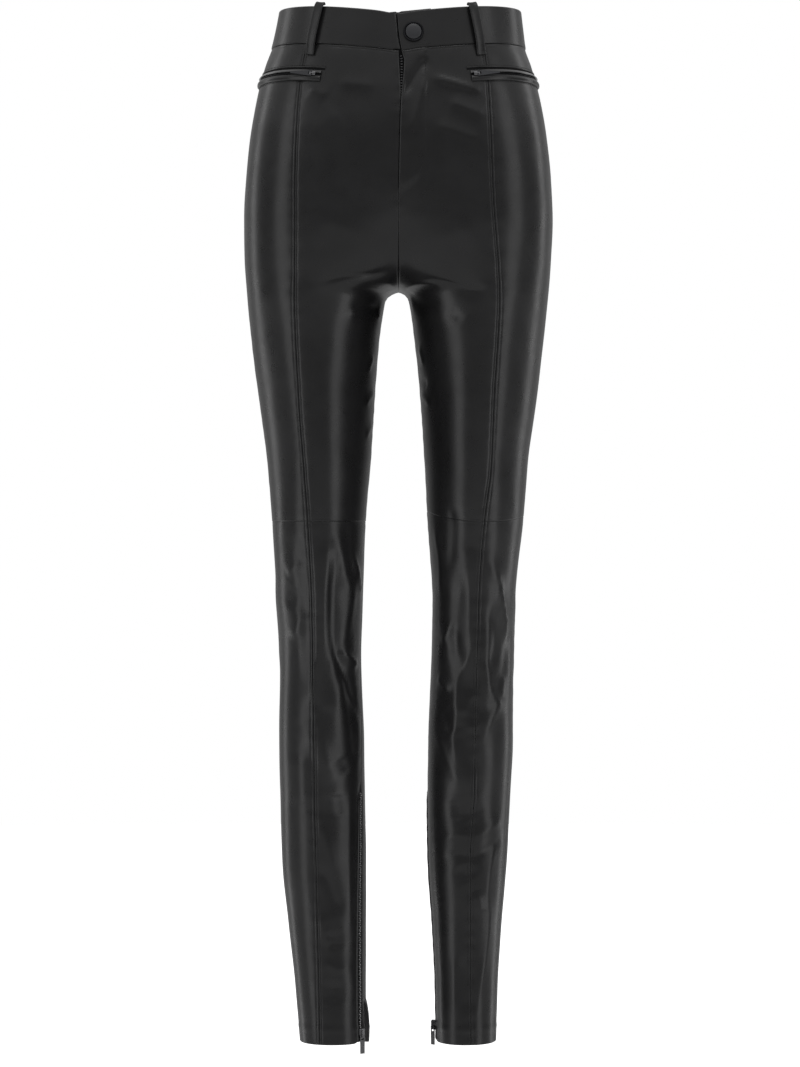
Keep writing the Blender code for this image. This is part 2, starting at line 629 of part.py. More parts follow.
def build_slider(name, kind, frame, finish):
    """A zip slider with the bridge that its pull tab turns on. X runs along the zip towards the tab's free end and Z
    out of the garment, and the frame's origin is on the slider's underside."""
    sizes = ZIPS[kind]
    size, body = sizes["size"], sizes["body"]
    wide, long, post, rise, bar = (size * value for value in (5.6, 10.0, 1.2, 1.6, 1.1))
    top, reach = body + rise + bar, 0.41 * long
    feet = [((x0, -post / 2, body - 0.2), (x0 + bar, post / 2, top)) for x0 in (-reach, reach - bar)]
    boxes = [((-long / 2, -wide / 2, 0), (long / 2, wide / 2, body)), *feet,
             ((-reach, -post / 2, body + rise), (reach, post / 2, top))]
    made = joined(f"{name}_slider", boxes, metal)
    made.matrix_world = frame

    thick, eye, rim = 0.9 * size, 4.9 * size, sizes["rim"]
    length, half, tip = sizes["length"], sizes["width"] / 2, sizes["tip"] / 2
    outer = [(-thick / 2, -half), (length, -tip), (length, tip), (-thick / 2, half)]
    inner = [(thick / 2, rim - half), (eye, rim - half), (eye, half - rim), (thick / 2, half - rim)]
    corners = [(x, y, z) for z in (-thick / 2, thick / 2) for x, y in outer + inner]
    faces = []
    for i in range(4):
        j = (i + 1) % 4
        faces += [(i, j, 4 + j, 4 + i), (8 + i, 12 + i, 12 + j, 8 + j)]
        faces += [(i, 8 + i, 8 + j, j), (4 + i, 4 + j, 12 + j, 12 + i)]
    pull = add_object(f"{name}_pull", corners, faces, finish)
    pull.matrix_world = frame @ Matrix.Translation(Vector((0.16 * long, 0, body + rise * 0.52)) * MM)


leather = material("black leather", (0.012, 0.012, 0.012), 0.38)
metal = material("dark metal", (0.10, 0.10, 0.11), 0.3, 1.0)
cloth = material("black zip tape", (0.01, 0.01, 0.01), 0.8)
# Each pocket's strips: name, drop of the upper and the lower edge, thickness and finish.
POCKET_STRIPS = (
    ("welt_upper", 72.0, 75.4, WELT, leather),
    ("zip", 75.8, 77.2, 0.7, cloth),
    ("welt_lower", 77.6, 83.8, WELT, leather),
)


def pocket_sag(angles, first):
    """How much lower a pocket's lines run towards their inner end, which is at the first angle."""
    share = (angles - first) / (POCKET_END - first)
    return POCKET_SAG * np.clip(1 - 2 * share, 0, 1) ** 2


def build_pockets(side):
    """A zipped pocket with an upper and a lower welt, from the outseam to just past the long front seam."""
    name = name_of(side)
    inner, slider_at = POCKET_INNER[name], POCKET_SLIDER[name]
    first = float(angle_at(side, inner, POCKET_DROP))
    angles = np.linspace(first, POCKET_END, 12)
    for part, top, bottom, thick, finish in POCKET_STRIPS:
        drops = np.array([[top], [bottom]]) + pocket_sag(angles, first)
        points, normals = on_leg(side, angles[None, :], drops)
        strip(f"pocket_{name}_{part}", points, normals, SEAM_GAP + thick, thick, finish)
    angle = float(angle_at(side, slider_at, POCKET_DROP))
    near = np.array([-0.02, 0, 0.02])
    level = POCKET_DROP + pocket_sag(angle, first) - 0.3
    points, normals = on_leg(side, angle + near, level - near * 60 * math.tan(math.radians(POCKET_TILT)))
    base = points[1] + normals[1] * (2 * SEAM_GAP + WELT)
    build_slider(f"pocket_{name}_zip", "pocket", frame_at(base, normals[1], points[2] - points[0]), leather)


def build_ankle_zip(side):
    name = name_of(side)
    drops = np.linspace(ZIP_TOP - 6, LENGTH - 1, 14)
    middle = np.radians(inseam[name](drops))
    angles = middle[:, None] + np.linspace(-0.5, 0.5, 5)[None, :] * TAPE_WIDTH / ANKLE_RADIUS
    points, normals = on_leg(side, angles, drops[:, None])
    strip(f"ankle_{name}_tape", points, normals, -LEATHER - SEAM_GAP, TAPE, cloth)
    near = np.array([-4, 0, 4]) + SLIDER_DROP[name]
    points, normals = on_leg(side, np.radians(inseam[name](near)), near)
    # The slider is twisted, so that one edge of it rests on the tape.
    turn = math.radians(SLIDER_TURN[name])
    base = points[1] + normals[1] * (SLIDER_HALF * math.sin(turn) - LEATHER)
    twist = Matrix.Rotation(-side * turn, 4, "X")
    build_slider(f"ankle_{name}_zip", "ankle", frame_at(base, normals[1], points[2] - points[0]) @ twist, metal)


def main():
    for old in list(bpy.data.objects):
        bpy.data.objects.remove(old)
    for side in (RIGHT, LEFT):
        build_leg(side)
        build_pockets(side)
        build_ankle_zip(side)
    build_waistband()
    build_loops()
    build_fly()
    build_button()


main()
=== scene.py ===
"""Looks of the black leather leggings: fine leather shells, sewing, zips, materials, light and camera.

Sizes are in millimetres, in the frame's own axes: the origin is the centre of the waist's opening, +Z is up
and the front faces -Y. "drop" is a distance below the waist, a "level" is the drop of a row at its outer
    side,
and the wearer's right leg is at -X."""

import math

import bmesh
import bpy
import numpy as np
from mathutils import Matrix, Vector


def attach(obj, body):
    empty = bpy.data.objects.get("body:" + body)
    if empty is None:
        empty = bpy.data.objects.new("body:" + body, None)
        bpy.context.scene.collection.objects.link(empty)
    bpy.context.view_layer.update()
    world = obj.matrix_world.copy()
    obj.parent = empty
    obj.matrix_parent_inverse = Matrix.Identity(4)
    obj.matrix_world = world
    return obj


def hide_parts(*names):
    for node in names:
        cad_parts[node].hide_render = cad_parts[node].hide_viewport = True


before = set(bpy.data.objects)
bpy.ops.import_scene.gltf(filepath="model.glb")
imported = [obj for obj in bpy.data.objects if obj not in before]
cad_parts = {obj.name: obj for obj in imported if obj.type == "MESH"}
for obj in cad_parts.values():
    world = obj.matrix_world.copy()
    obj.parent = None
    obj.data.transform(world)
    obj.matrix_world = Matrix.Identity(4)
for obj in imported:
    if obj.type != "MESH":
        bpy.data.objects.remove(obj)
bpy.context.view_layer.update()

MM = 0.001
RIGHT, LEFT = -1, 1
NAMES = {RIGHT: "right", LEFT: "left"}
FRONT, BACK = -1, 1

# ---- driving sizes, as in the solids
LENGTH = 1072.5
CROTCH = 295.0
KNEE = 533.0
BAND = 38.5
SEAM_GAP = 0.3
BAND_WALL = 2.6
BAND_PROUD = 0.7

OUTLINE = {
    "drop": (0, 20, 43, 63, 95, 136, 178, 219, 261, 303, 344, 407, 469, 531, 615, 677, 760, 823, 885, 947,
             1010, 1075),
    RIGHT: (122.5, 126, 131.6, 139, 147.2, 154.4, 158.6, 160.7, 160.2, 157.4, 153.4, 145.1, 136.8, 131.6,
            126.4, 123.2, 124.3, 123.2, 121.2, 114.9, 107.6, 102.4),
    LEFT: (126.5, 128.4, 131.6, 138.5, 147.2, 154.4, 158.6, 160.5, 158.8, 155.5, 151.3, 144, 134.7, 129.5,
           121.2, 119.1, 119.1, 116, 112.8, 107.6, 103.5, 101.4),
    "front": (92, 94, 97, 100, 104, 107, 107.5, 106, 100.5, 94, 90.5, 86, 81, 75, 64.5, 58, 53, 49, 46, 43,
              41, 40),
    "back": (88, 90, 93, 98, 107, 118, 126, 128, 122, 108, 96, 83, 72, 64, 60, 62, 67, 66, 60, 52, 47, 46),
    "middle": (0, 1, 2, 4, 6, 8, 9, 9, 8, 6, 4, 1, -3, -5, -2, 2, 7, 8, 7, 5, 3, 3),
    "power": (2.2, 2.25, 2.3, 2.35, 2.45, 2.55, 2.6, 2.55, 2.35, 2.05, 1.85, 1.78, 1.78, 1.85, 1.95, 2,
              2.05, 2.05, 2.05, 2.05, 2.05, 2.05),
}
INSIDE = {
    "drop": (0, 95, 178, 225, 255, 275, 288, 294.3, 298.5, 303, 313, 344, 407, 469, 531, 615, 677, 760, 823,
             885, 947, 1010, 1075),
    RIGHT: (-60, -64, -64, -54, -40, -25, -9, 2.6, 9.5, 13, 15, 19.2, 24.4, 28.6, 33.8, 36.9, 39, 35.9,
            34.8, 33.8, 33.8, 33.8, 33.8),
    LEFT: (-60, -64, -64, -54, -40, -25, -9, 2.6, 8, 10, 12, 16.1, 22.4, 26.5, 29.6, 34.8, 33.8, 30.7, 29.6,
           30.7, 34.8, 38, 39),
}
BLEND = {"drop": (0, 219, 282, 303, 400), "reach": (9, 10, 5, 4, 4)}
FRONT_SEAM = {
    "drop": (37, 77, 122, 198, 302, 406, 475, 532, 613, 716, 820, 875, 1073),
    RIGHT: (92, 100, 104, 106, 106, 102, 97, 93, 89, 87, 86, 85, 81),
    LEFT: (85, 91, 94, 97, 103, 98, 95, 88, 82, 79.5, 77.5, 74, 74.5),
}
# Angles round a leg, in degrees: 0 points at the other leg, 90 to the front, 180 out and 270 to the back.
OUTSEAM = {
    "drop": (37, 300, 407, 475, 540, 740, 820, 875, 1073),
    RIGHT: (180, 180, 175, 175, 188, 198, 203, 205, 206),
    LEFT: (180, 182, 185, 186, 186, 172, 159, 154, 151),
}
INSEAM = {
    "drop": (300, 407, 540, 615, 740, 820, 875, 1073),
    RIGHT: (0, 0, 4, 10, 22, 31, 34, 39.5),
    LEFT: (0, 0, 0, 1, 2, 3, 4, 4),
}
RISE_START, RISE_END = 120.0, 300.0
FLY = {
    "drop": (17.6, 40, 57.8, 66, 106, 160, 197),
    LEFT: (-1.5, 0.5, 3.6, 5.6, 2.6, 0.6, 0),
    RIGHT: (0.5, 0.5, 0.5, 0.8, 2.6, 0.6, 0),
}
DIP_FRONT, DIP_SIDE = 17.6, 4.3
KNEE_BEND, KNEE_TILT = 8, 2.5  # of the left knee seam
# How far from their seams the waist's dip, the knee seam's bend and the hem's rise fade out.
WAIST_FADE, KNEE_FADE, HEM_FADE, HEM_SPREAD = 90, 60, 26, 5
ZIP_TOP = 812.0
ZIP_GAPE, GAPE_START, GAPE_RUN = 6.5, 12, 14  # how far its edges part, from where, and over what length
ANKLE_RADIUS, HEM_RISE = 38.0, 5.5
CENTRE_FRONT = math.radians(62)
# The underlap's reach and rise, and how far past the opening and over what width it steps down.
UNDERLAP, UNDERLAP_RISE, UNDERLAP_START, UNDERLAP_STEP = 33.0, 1.2, 0.9, 0.3
BUTTON_X, BUTTON_DROP = 15.2, 36.8
LOOP_WIDTH, LOOP_THICK = 10.0, 2.2
# Each loop's side, and its distances from the centre plane at its top and bottom.
LOOPS = (
    ("loop_front_right", FRONT, -78.5, -90),
    ("loop_front_left", FRONT, 74, 84),
    ("loop_back_right", BACK, -74, -80),
    ("loop_back_left", BACK, 74, 80),
    ("loop_back_centre", BACK, 0, 0),
)
# The level of points down a loop, and how far they stand off.
LOOP_PATH = ((-1.6, 0.2), (-2.6, 2.2), (0.5, 4.2), (8, 5.2), (28, 5.2), (38, 4.4), (44, 3.0), (48, 2.0),
             (51, 1.75))
# Half sections of the button, by radius and height.
BUTTON_RIM = ((0, 0.2), (9.6, 0.2), (10.3, 0.5), (10.5, 1.3), (10.3, 2.1), (9.7, 2.6), (9.0, 2.5),
              (8.5, 1.9), (8.3, 1.2), (0, 1.2))
BUTTON_FACE = ((0, 1.3), (7.6, 1.3), (8.0, 1.6), (8.1, 2.2), (7.9, 2.8), (7.4, 3.2), (6.2, 3.55),
               (4.2, 3.85), (2.0, 4.0), (0, 4.05))
WELT = 1.3
POCKET_DROP = 76.5
POCKET_INNER = {RIGHT: 77.7, LEFT: 72.6}
POCKET_END = math.radians(178)
POCKET_SAG = 3.5
POCKET_STRIPS = (("welt_upper", 72.0, 75.4), ("welt_lower", 77.6, 83.8))
SLIDER_DROP = {RIGHT: 1062.5, LEFT: 1056.0}

# ---- sizes of the fine surface
GRID = 2.8  # between points, away from a seam
EDGE = (-0.05, 0.2, 0.5, 0.9, 1.4, 1.9, 2.4, 2.9, 3.5, 4.5)  # the points' distances from a seam
SEAM_ROLL, SEAM_DEPTH = 1.1, 1.0  # how wide and how deep the leather turns down into a seam
KNEE_SHARE = 0.45  # how deep it does so at the knee seam, against the others
STITCH_ROW = 2.6  # distance of a row of stitches from its seam
# How far the leather sinks along such a row, by the seam beside it.
ROW_DENTS = {"seam": 0.26, "front": 0.06, "out": 0.06, "back": 0.06, "across": 0.12}
DENT_WIDTH = 0.55
# Small waves along a seam: height, two lengths and how far they reach. The seam also draws the leather in.
PUCKER, PUCKER_LENGTH, PUCKER_SWAY, PUCKER_REACH = 0.16, 2.9, 17, 5
DRAW, DRAW_REACH = 0.25, 7
SKIN = 1.2  # thickness of the fine leather
# The turned-up hem: its depth, how much it thickens the edge, how far it stands proud and how round it is.
HEM, HEM_SKIN, HEM_PROUD, HEM_ROUND = 17.0, 0.6, 0.25, 1.2
CREST = 0.3  # how rounded a crease's crest is, against its half width
# Rolled edges as place, half width and height. The place is a distance from an edge or the fly's curved line.
ZIP_LIP, HEM_LIP = (1.9, 1.2, 1.0), (HEM, 1.6, 0.35)
FRONT_LIP = (2.0, 1.1, 0.5)
FLY_GROOVE, FLY_RIDGE = (-1.6, 0.6, -0.65), (-3.2, 1.0, 0.25)
FLY_EDGE = ((29, 58), (29.2, 100), (28.8, 140), (27.5, 165), (22, 181), (13, 191), (2, 197))
FLY_STEP, FLY_SLOPE = 1.1, 0.5  # how far the fly's facing stands proud, and over what width it rises
FLY_END, FLY_SIDE = 205.0, 60.0  # nothing of the fly lies lower than this, or farther to the side
LIP_END, LIP_FADE = 200, 20  # where the opening's lip ends, and over what length it fades
BAND_SWELL, BAND_ROUND = 0.25, 1.8  # how far the band swells, and how round its ends are
BAND_GRID, BAND_COLUMN = 2.4, 2.6  # between its rows, and between its columns
FINE_SHARES = (0, 0.06, 0.14, 0.25, 0.38, 0.6)  # a rounded end's own columns, within the first gap
LOOP_SIDE = (0, 0.12, 0.24, 0.34, 0.40, 0.45, 0.485, 0.5)  # half a loop's columns, as shares of its width
# A loop's rows of stitches, as a share of its width, its edges' roundness and its length when flat.
LOOP_STITCHES, LOOP_ROUND, LOOP_LENGTH = 0.29, 0.9, 58.0
LOOP_SUNK, LOOP_EDGE = 0.30, 2.6  # how far its middle is sunk, and how wide the proud edge is
STITCH_PITCH, STITCH_LENGTH, STITCH_THICK = 3.0, 2.5, 0.55
WELT_ROWS = (0, 0.12, 0.3, 0.6, 1.0)  # rows of a welt by their distance from its edge
# How far the upper welt slopes out, from where, and how far the lower one swells.
WELT_SLOPE, WELT_START, WELT_SWELL = 2.0, -0.7, 1.2
PIPING_ROWS = (0, 0.05, 0.15, 0.3, 0.5, 0.7, 0.85, 0.95, 1)
# Top, bottom and height of the pocket's piping, and of the dark strip below it, which is painted shade for
# the gap between the piping and the upper welt.
PIPING, PAINTED_SHADE_STRIP = (68.7, 70.3, 0.8), (70.2, 72.2, 0.12)
POCKET_FRAME = {"upper": 68.0, "lower": 85.0}  # rows of stitches round a pocket, by drop
STITCHES_END, STITCHES_PAST = math.radians(176), 4.2  # where they end, and how far they pass the inner end
# Zip teeth: distance apart, and each one's length, width and thickness. Then how deep or proud they lie.
ANKLE_TEETH, FLY_TEETH, POCKET_TEETH = (1.9, (1.1, 2.0, 1.4)), (2.8, (1.0, 2.4, 1.0)), (1.3, (0.8, 1.0, 0.5))
ANKLE_DEPTH, FLY_DEPTH, POCKET_PROUD = 0.6, 1.8, 0.9

# The largest folds, as in the solids: angle and drop at each end, half width and height.
FOLDS = {RIGHT: (
    (84, 560, 96, 720, 9, 2.2),
    (108, 548, 100, 700, 8, -2.0),
    (40, 575, 66, 665, 10, 2.2),
    (58, 690, 42, 780, 10, -2.0),
    (104, 740, 76, 800, 10, 1.8),
    (262, 505, 286, 545, 12, -2.6),
    (250, 560, 296, 600, 11, 2.4),
    (222, 640, 214, 760, 12, -1.8),
    (28, 318, 62, 322, 7, -2.2),
    (377, 1026, 384, 1096, 10, 5.5),
), LEFT: (
    (84, 560, 96, 690, 9, 2.0),
    (66, 640, 92, 735, 9, -2.2),
    (112, 600, 98, 735, 9, 2.2),
    (140, 640, 122, 720, 11, -1.8),
    (70, 760, 98, 830, 10, 1.8),
    (256, 510, 284, 540, 12, -2.6),
    (246, 575, 292, 605, 11, 2.4),
    (226, 660, 216, 770, 12, -1.8),
    (24, 306, 60, 316, 7, -2.0),
)}
# Finer creases on the front: half width, height (below 0 for a trough), and points along each by their
# distance from the centre plane and their drop.
CREASES = {RIGHT: (
    # long wavy ridges and troughs of the lower leg
    (4.5, 2.3, (90, 539), (85, 554), (83, 575), (80, 600), (78.5, 626), (80, 655), (84.5, 681), (88, 706),
     (85.5, 729), (81, 749), (78.5, 768), (78.5, 794), (80, 822), (80, 845), (73, 867), (68, 888), (64, 909),
     (57.5, 932)),
    (4.0, 2.0, (76.5, 539), (74.5, 562), (73.5, 588), (74.5, 614), (72.5, 639), (70, 665), (66, 686),
     (63, 698)),
    (5.5, -3.8, (70, 554), (65, 575), (67.5, 609), (69, 639), (65, 665), (57.5, 686), (50, 706), (43.5, 724),
     (38.5, 742)),
    (4.5, 2.4, (64, 545), (57.5, 568), (52.5, 592), (50, 612)),
    (4.5, -1.6, (55, 526), (51, 562), (47, 600)),
    (4.0, 2.5, (50, 559), (42, 588), (39.5, 614)),
    (3.5, 3.2, (60, 665), (50, 675), (42, 683)),
    (8.0, 1.4, (55, 691), (65, 732)),
    (8.0, -1.4, (60, 776), (50, 792)),
    (5.0, 1.4, (101, 573), (114, 588)),
    (6.0, 1.6, (96, 624), (109, 655)),
    (7.0, -1.2, (104, 600), (112, 622)),
    (7.0, -1.3, (62, 812), (60, 838)),
    (5.0, -1.9, (81, 886), (70, 909), (59, 942)),
    (4.0, 1.5, (80, 934), (78, 953), (70, 975)),
    (5.0, -1.5, (68, 955), (66, 974)),
    (4.0, 0.7, (78, 985), (62, 994), (45, 989)),
    (7.0, -1.3, (66, 1006), (68, 1030)),
    (4.0, 0.9, (49, 799), (51, 883), (50, 963)),
    (9.0, 1.2, (100, 770), (97, 830)),
    # the fold where the thigh meets the belly
    (5.0, -2.8, (80, 290), (66, 287), (54, 285), (36, 284), (21, 283), (4, 278)),
    (3.0, 1.2, (15, 288), (9, 291), (4, 297)),
    (3.0, 1.8, (54, 320), (34, 321), (15, 321)),
    (4.0, -1.5, (50, 313), (32, 314), (16, 314)),
    (16.0, 1.5, (88, 222), (50, 240), (15, 258)),
    (3.5, 1.3, (26, 362), (32, 380)),
    (3.5, 1.4, (25, 398), (35, 413)),
    (3.5, 1.1, (27, 432), (34, 446)),
    (6.0, 1.1, (64, 87), (24, 92)),
    (6.0, 1.2, (93, 92), (72, 102)),
    (10.0, 0.7, (60, 118), (90, 140)),
), LEFT: (
    (4.5, 2.3, (74.5, 537), (76, 588), (74.5, 639), (76, 665), (64, 691), (60, 718), (60, 734), (57, 757),
     (63, 780), (70.5, 806)),
    (4.0, 2.0, (94, 549), (91.5, 588), (90, 639), (90, 691), (96.5, 711), (101.5, 722), (94, 737), (84, 758),
     (81, 794)),
    (4.0, 1.3, (78.5, 706), (63, 734)),
    (4.0, 1.2, (91, 732), (73.5, 749)),
    (4.0, 3.2, (94, 570), (103, 600), (109.5, 634), (112, 665)),
    (4.5, -2.8, (95, 614), (99, 655), (93, 691)),
    (4.0, 1.7, (109.5, 691), (105, 716)),
    (5.0, 1.6, (36.5, 534), (43.5, 575), (42.5, 614)),
    (5.0, -1.6, (52, 516), (55, 542), (53, 588)),
    (9.0, -2.7, (63, 580), (58, 639), (53, 690)),
    (4.0, 1.7, (54, 636), (44, 660)),
    (4.0, 1.9, (39.5, 693), (53, 708)),
    (5.0, 1.3, (37.5, 749), (52, 780), (68, 814)),
    (6.0, -1.5, (44, 728), (56, 752)),
    (6.0, -1.5, (58, 818), (63, 842)),
    (6.0, 1.3, (42, 866), (58, 855), (78, 857), (98, 846), (108, 838)),
    (5.0, -1.4, (44, 884), (60, 876), (78, 878), (96, 868), (106, 860)),
    (6.0, -1.2, (61, 889), (73, 902)),
    (4.0, 1.3, (78.5, 914), (86, 937)),
    (4.0, 1.5, (95, 845), (99, 865), (95, 886), (91.5, 914), (93, 942), (90, 978), (84, 1016), (78.5, 1055)),
    (4.0, 1.1, (58, 978), (59, 1045)),
    (5.0, -1.3, (66, 978), (68, 1045)),
    (5.0, -2.6, (6, 292), (32, 289), (52, 292), (72, 298), (90, 296)),
    (2.8, 1.6, (3.5, 299), (12, 293), (26, 291), (50, 293)),
    (4.0, -1.4, (50, 318), (66, 330)),
    (16.0, 1.3, (12, 256), (46, 246), (82, 232)),
    (3.5, 1.3, (21, 352), (26, 372)),
    (3.5, -1.0, (20, 384), (30, 392)),
    (3.5, 1.2, (23, 400), (33, 413)),
    # round the fly
    (3.6, -2.8, (31, 62), (20, 78), (6, 103)),
    (2.6, 2.0, (29, 80), (22, 110), (14, 146)),
    (4.0, 2.1, (32, 82), (62, 90), (88, 97)),
    (5.0, 1.7, (52, 107), (90, 122)),
    (6.0, 1.4, (37, 131), (88, 148)),
)}
# The same on hidden sides, by angle in degrees and drop.
BACK_CREASES = {RIGHT: (
    (5.0, 1.4, (306, 318), (282, 312), (250, 322)),
    (6.0, -1.3, (306, 330), (280, 326), (256, 334)),
    (4.5, 1.1, (310, 346), (288, 350)),
    (5.0, 1.3, (236, 520), (266, 512), (298, 522)),
    (5.0, 1.2, (228, 552), (262, 560), (292, 548)),
    (4.5, -1.1, (236, 575), (270, 584), (304, 570)),
    (6.0, 1.0, (216, 610), (222, 680), (212, 742)),
    (6.0, 0.9, (310, 640), (300, 715), (312, 770)),
    (6.0, -0.9, (252, 860), (280, 884)),
    (5.0, 1.0, (232, 962), (262, 972), (296, 964)),
    (5.0, -0.9, (236, 990), (268, 998), (300, 990)),
    (8.0, 1.2, (170, 585), (182, 640), (172, 690)),
), LEFT: (
    (5.0, 1.3, (304, 322), (278, 316), (252, 326)),
    (6.0, -1.3, (308, 334), (284, 330), (258, 338)),
    (4.5, 1.0, (312, 352), (290, 358)),
    (5.0, 1.3, (240, 516), (268, 510), (300, 518)),
    (5.0, 1.1, (232, 556), (264, 566), (296, 552)),
    (4.5, -1.1, (240, 580), (272, 590), (306, 574)),
    (6.0, 1.0, (214, 620), (224, 690), (214, 750)),
    (6.0, 0.9, (312, 630), (304, 700), (314, 760)),
    (6.0, -0.9, (256, 850), (282, 872)),
    (5.0, 1.0, (236, 952), (264, 964), (298, 955)),
    (5.0, -0.9, (240, 980), (270, 990), (302, 980)),
    (8.0, 1.1, (166, 600), (178, 650), (170, 700)),
)}


# ---- short helpers


def unit(value):
    """The value, held between 0 and 1."""
    return np.clip(value, 0, 1)


def bell(away, width):
    """1 where away is 0, with a smooth fall to both sides of it."""
    return np.exp(-((away / width) ** 2))


def ease(share):
    """A share from 0 to 1 that starts and ends gently."""
    return share * share * (3 - 2 * share)


def steps(points, axis=0):
    """Distances between neighbouring points along a path, or along one axis of a grid."""
    return np.linalg.norm(np.diff(points, axis=axis), axis=-1)


def travel(points, axis=0):
    """How far each point is from the start of its path or row."""
    return np.insert(np.cumsum(steps(points, axis), axis=axis), 0, 0, axis=axis)


def unit_rows(ways):
    return ways / np.linalg.norm(ways, axis=-1, keepdims=True)


def blend_at(where, places, columns):
    """Points between those of a path, by how far along they are."""
    return np.stack([np.interp(where, places, columns[:, i]) for i in range(3)], axis=-1)


# ---- the filled-out form, worked out as in the solids


def curve(knots, values):
    """A smooth curve through the values that never overshoots them (Fritsch and Carlson's slopes)."""
    knots, values = np.asarray(knots, float), np.asarray(values, float)
    widths = np.diff(knots)
    rises = np.diff(values) / widths
    slopes = np.zeros(len(knots))
    same = rises[:-1] * rises[1:] > 0
    first, second = 2 * widths[1:] + widths[:-1], widths[1:] + 2 * widths[:-1]
    with np.errstate(divide="ignore", invalid="ignore"):
        slopes[1:-1] = np.where(same, (first + second) / (first / rises[:-1] + second / rises[1:]), 0)
    slopes[0], slopes[-1] = rises[0], rises[-1]

    def at(place):
        place = np.clip(np.asarray(place, float), knots[0], knots[-1])
        i = np.clip(np.searchsorted(knots, place, side="right") - 1, 0, len(widths) - 1)
        t = (place - knots[i]) / widths[i]
        return (
            values[i] * (1 + 2 * t) * (1 - t) ** 2
            + slopes[i] * widths[i] * t * (1 - t) ** 2
            + values[i + 1] * t * t * (3 - 2 * t)
            + slopes[i + 1] * widths[i] * t * t * (t - 1)
        )

    return at


def curves(table):
    return {name: curve(table["drop"], column) for name, column in table.items() if name != "drop"}


outline, inside, blend = curves(OUTLINE), curves(INSIDE), curves(BLEND)["reach"]
front_seam, outseam, inseam = curves(FRONT_SEAM), curves(OUTSEAM), curves(INSEAM)
fly = curves(FLY)


def half_width(side, drop):
    return (outline[side](drop) - inside[side](drop)) / 2


def axis_of(side, drop):
    """Centre of a leg's section: x, and y at its widest."""
    return side * (outline[side](drop) + inside[side](drop)) / 2, outline["middle"](drop)


def leg_distance(side, x, y, drop):
    """How far a point is outside one leg's section, measured from its centre."""
    half = half_width(side, drop)
    centre, middle = axis_of(side, drop)
    depth = np.where(y < middle, outline["front"](drop) + middle, outline["back"](drop) - middle)
    power = outline["power"](drop)
    reach = (np.abs((x - centre) / half) ** power + np.abs((y - middle) / depth) ** power) ** (1 / power)
    return np.hypot(x - centre, y - middle) * (1 - 1 / np.maximum(reach, 1e-6))


def distance(points):
    """Roughly how far points (x, y, z) are outside the form: below zero inside it."""
    x, y, drop = points[..., 0], points[..., 1], -points[..., 2]
    right, left = leg_distance(RIGHT, x, y, drop), leg_distance(LEFT, x, y, drop)
    reach, near = blend(drop), np.minimum(right, left)
    return near - reach * np.log(np.exp((near - right) / reach) + np.exp((near - left) / reach))


def gradient(points):
    step = 0.05
    slopes = [(distance(points + axis) - distance(points - axis)) / (2 * step) for axis in np.eye(3) * step]
    return np.stack(slopes, axis=-1)


def onto_form(points):
    """Moves points onto the form along its normals."""
    for _ in range(6):
        slope = gradient(points)
        size = np.maximum((slope**2).sum(-1, keepdims=True), 1e-3)
        points = points - np.clip(distance(points)[..., None] / size, -30, 30) * slope
    return points


def normals_at(points):
    return unit_rows(gradient(points))


def solve(inner, outer):
    """The points between inner and outer ones where the form's surface is crossed."""
    low, high = np.zeros(len(inner)), np.ones(len(inner))
    for _ in range(40):
        middle = (low + high) / 2
        outside = distance(inner + (outer - inner) * middle[:, None]) > 0
        high, low = np.where(outside, middle, high), np.where(outside, low, middle)
    return inner + (outer - inner) * high[:, None]


def rise_curve(facing):
    """Points down the crotch seam, on the front or the back, and how far along each is, from 0 to 1."""
    turn = np.linspace(0, math.pi / 2, 400)
    middle = outline["middle"](CROTCH)
    inner = np.tile([0.0, middle, -RISE_START], (len(turn), 1))
    way = np.stack([0 * turn, facing * np.cos(turn), -np.sin(turn)], axis=-1)
    points = solve(inner, inner + 260 * way)
    along = travel(points)
    return points, along / along[-1]


RISE = {facing: rise_curve(facing) for facing in (FRONT, BACK)}


def place(x, drop, facing):
    """Points on the form's front or back at a distance x from the centre plane."""
    x, drop = np.broadcast_arrays(np.asarray(x, float), np.asarray(drop, float))
    inner = np.stack([x, 0 * x + outline["middle"](CROTCH), -drop], axis=-1)
    return solve(inner.reshape(-1, 3), (inner + [0, facing * 200.0, 0]).reshape(-1, 3)).reshape(inner.shape)


def row_end(side, level, facing):
    """Where the row at a level ends at the centre plane or the inseam, on the front or the back."""
    level = np.asarray(level, float)
    points, along = RISE[facing]
    rise = unit((level - RISE_START) / (RISE_END - RISE_START))
    on_rise = blend_at(rise, along, points)
    above = place(0, np.minimum(level, RISE_START), facing)
    leg = np.maximum(level, RISE_END)
    below = polar(side, np.radians(inseam[side](leg)), leg + 0 * leg)
    low = unit((level - RISE_END) / 100)[:, None]
    # The inseam leaves the crotch along the arch and meets its own angle lower down.
    arch = below + (points[-1] - polar(side, np.zeros(1), np.array([RISE_END]))[0]) * (1 - low) ** 3
    found = np.where((level < RISE_START)[:, None], above, on_rise)
    found = np.where((level > RISE_END)[:, None], onto_form(arch), found)
    if facing == BACK:
        return found
    # Both fronts end at the opening of the fly, not at the centre plane.
    across = fly[LEFT](level) if side == LEFT else np.minimum(fly[RIGHT](level), fly[LEFT](level))
    return np.where((np.abs(across) > 0.01)[:, None], place(found[:, 0] + across, -found[:, 2], FRONT), found)


def polar(side, angle, drop):
    """Points on one leg's own section, by angle round its centre and drop."""
    centre, middle = axis_of(side, drop)
    way = np.stack([-side * np.cos(angle), -np.sin(angle)], axis=-1)
    far = 400.0
    x, y = centre + far * way[..., 0], middle + far * way[..., 1]
    radius = far - leg_distance(side, x, y, drop)
    return np.stack([centre + radius * way[..., 0], middle + radius * way[..., 1], -drop], axis=-1)


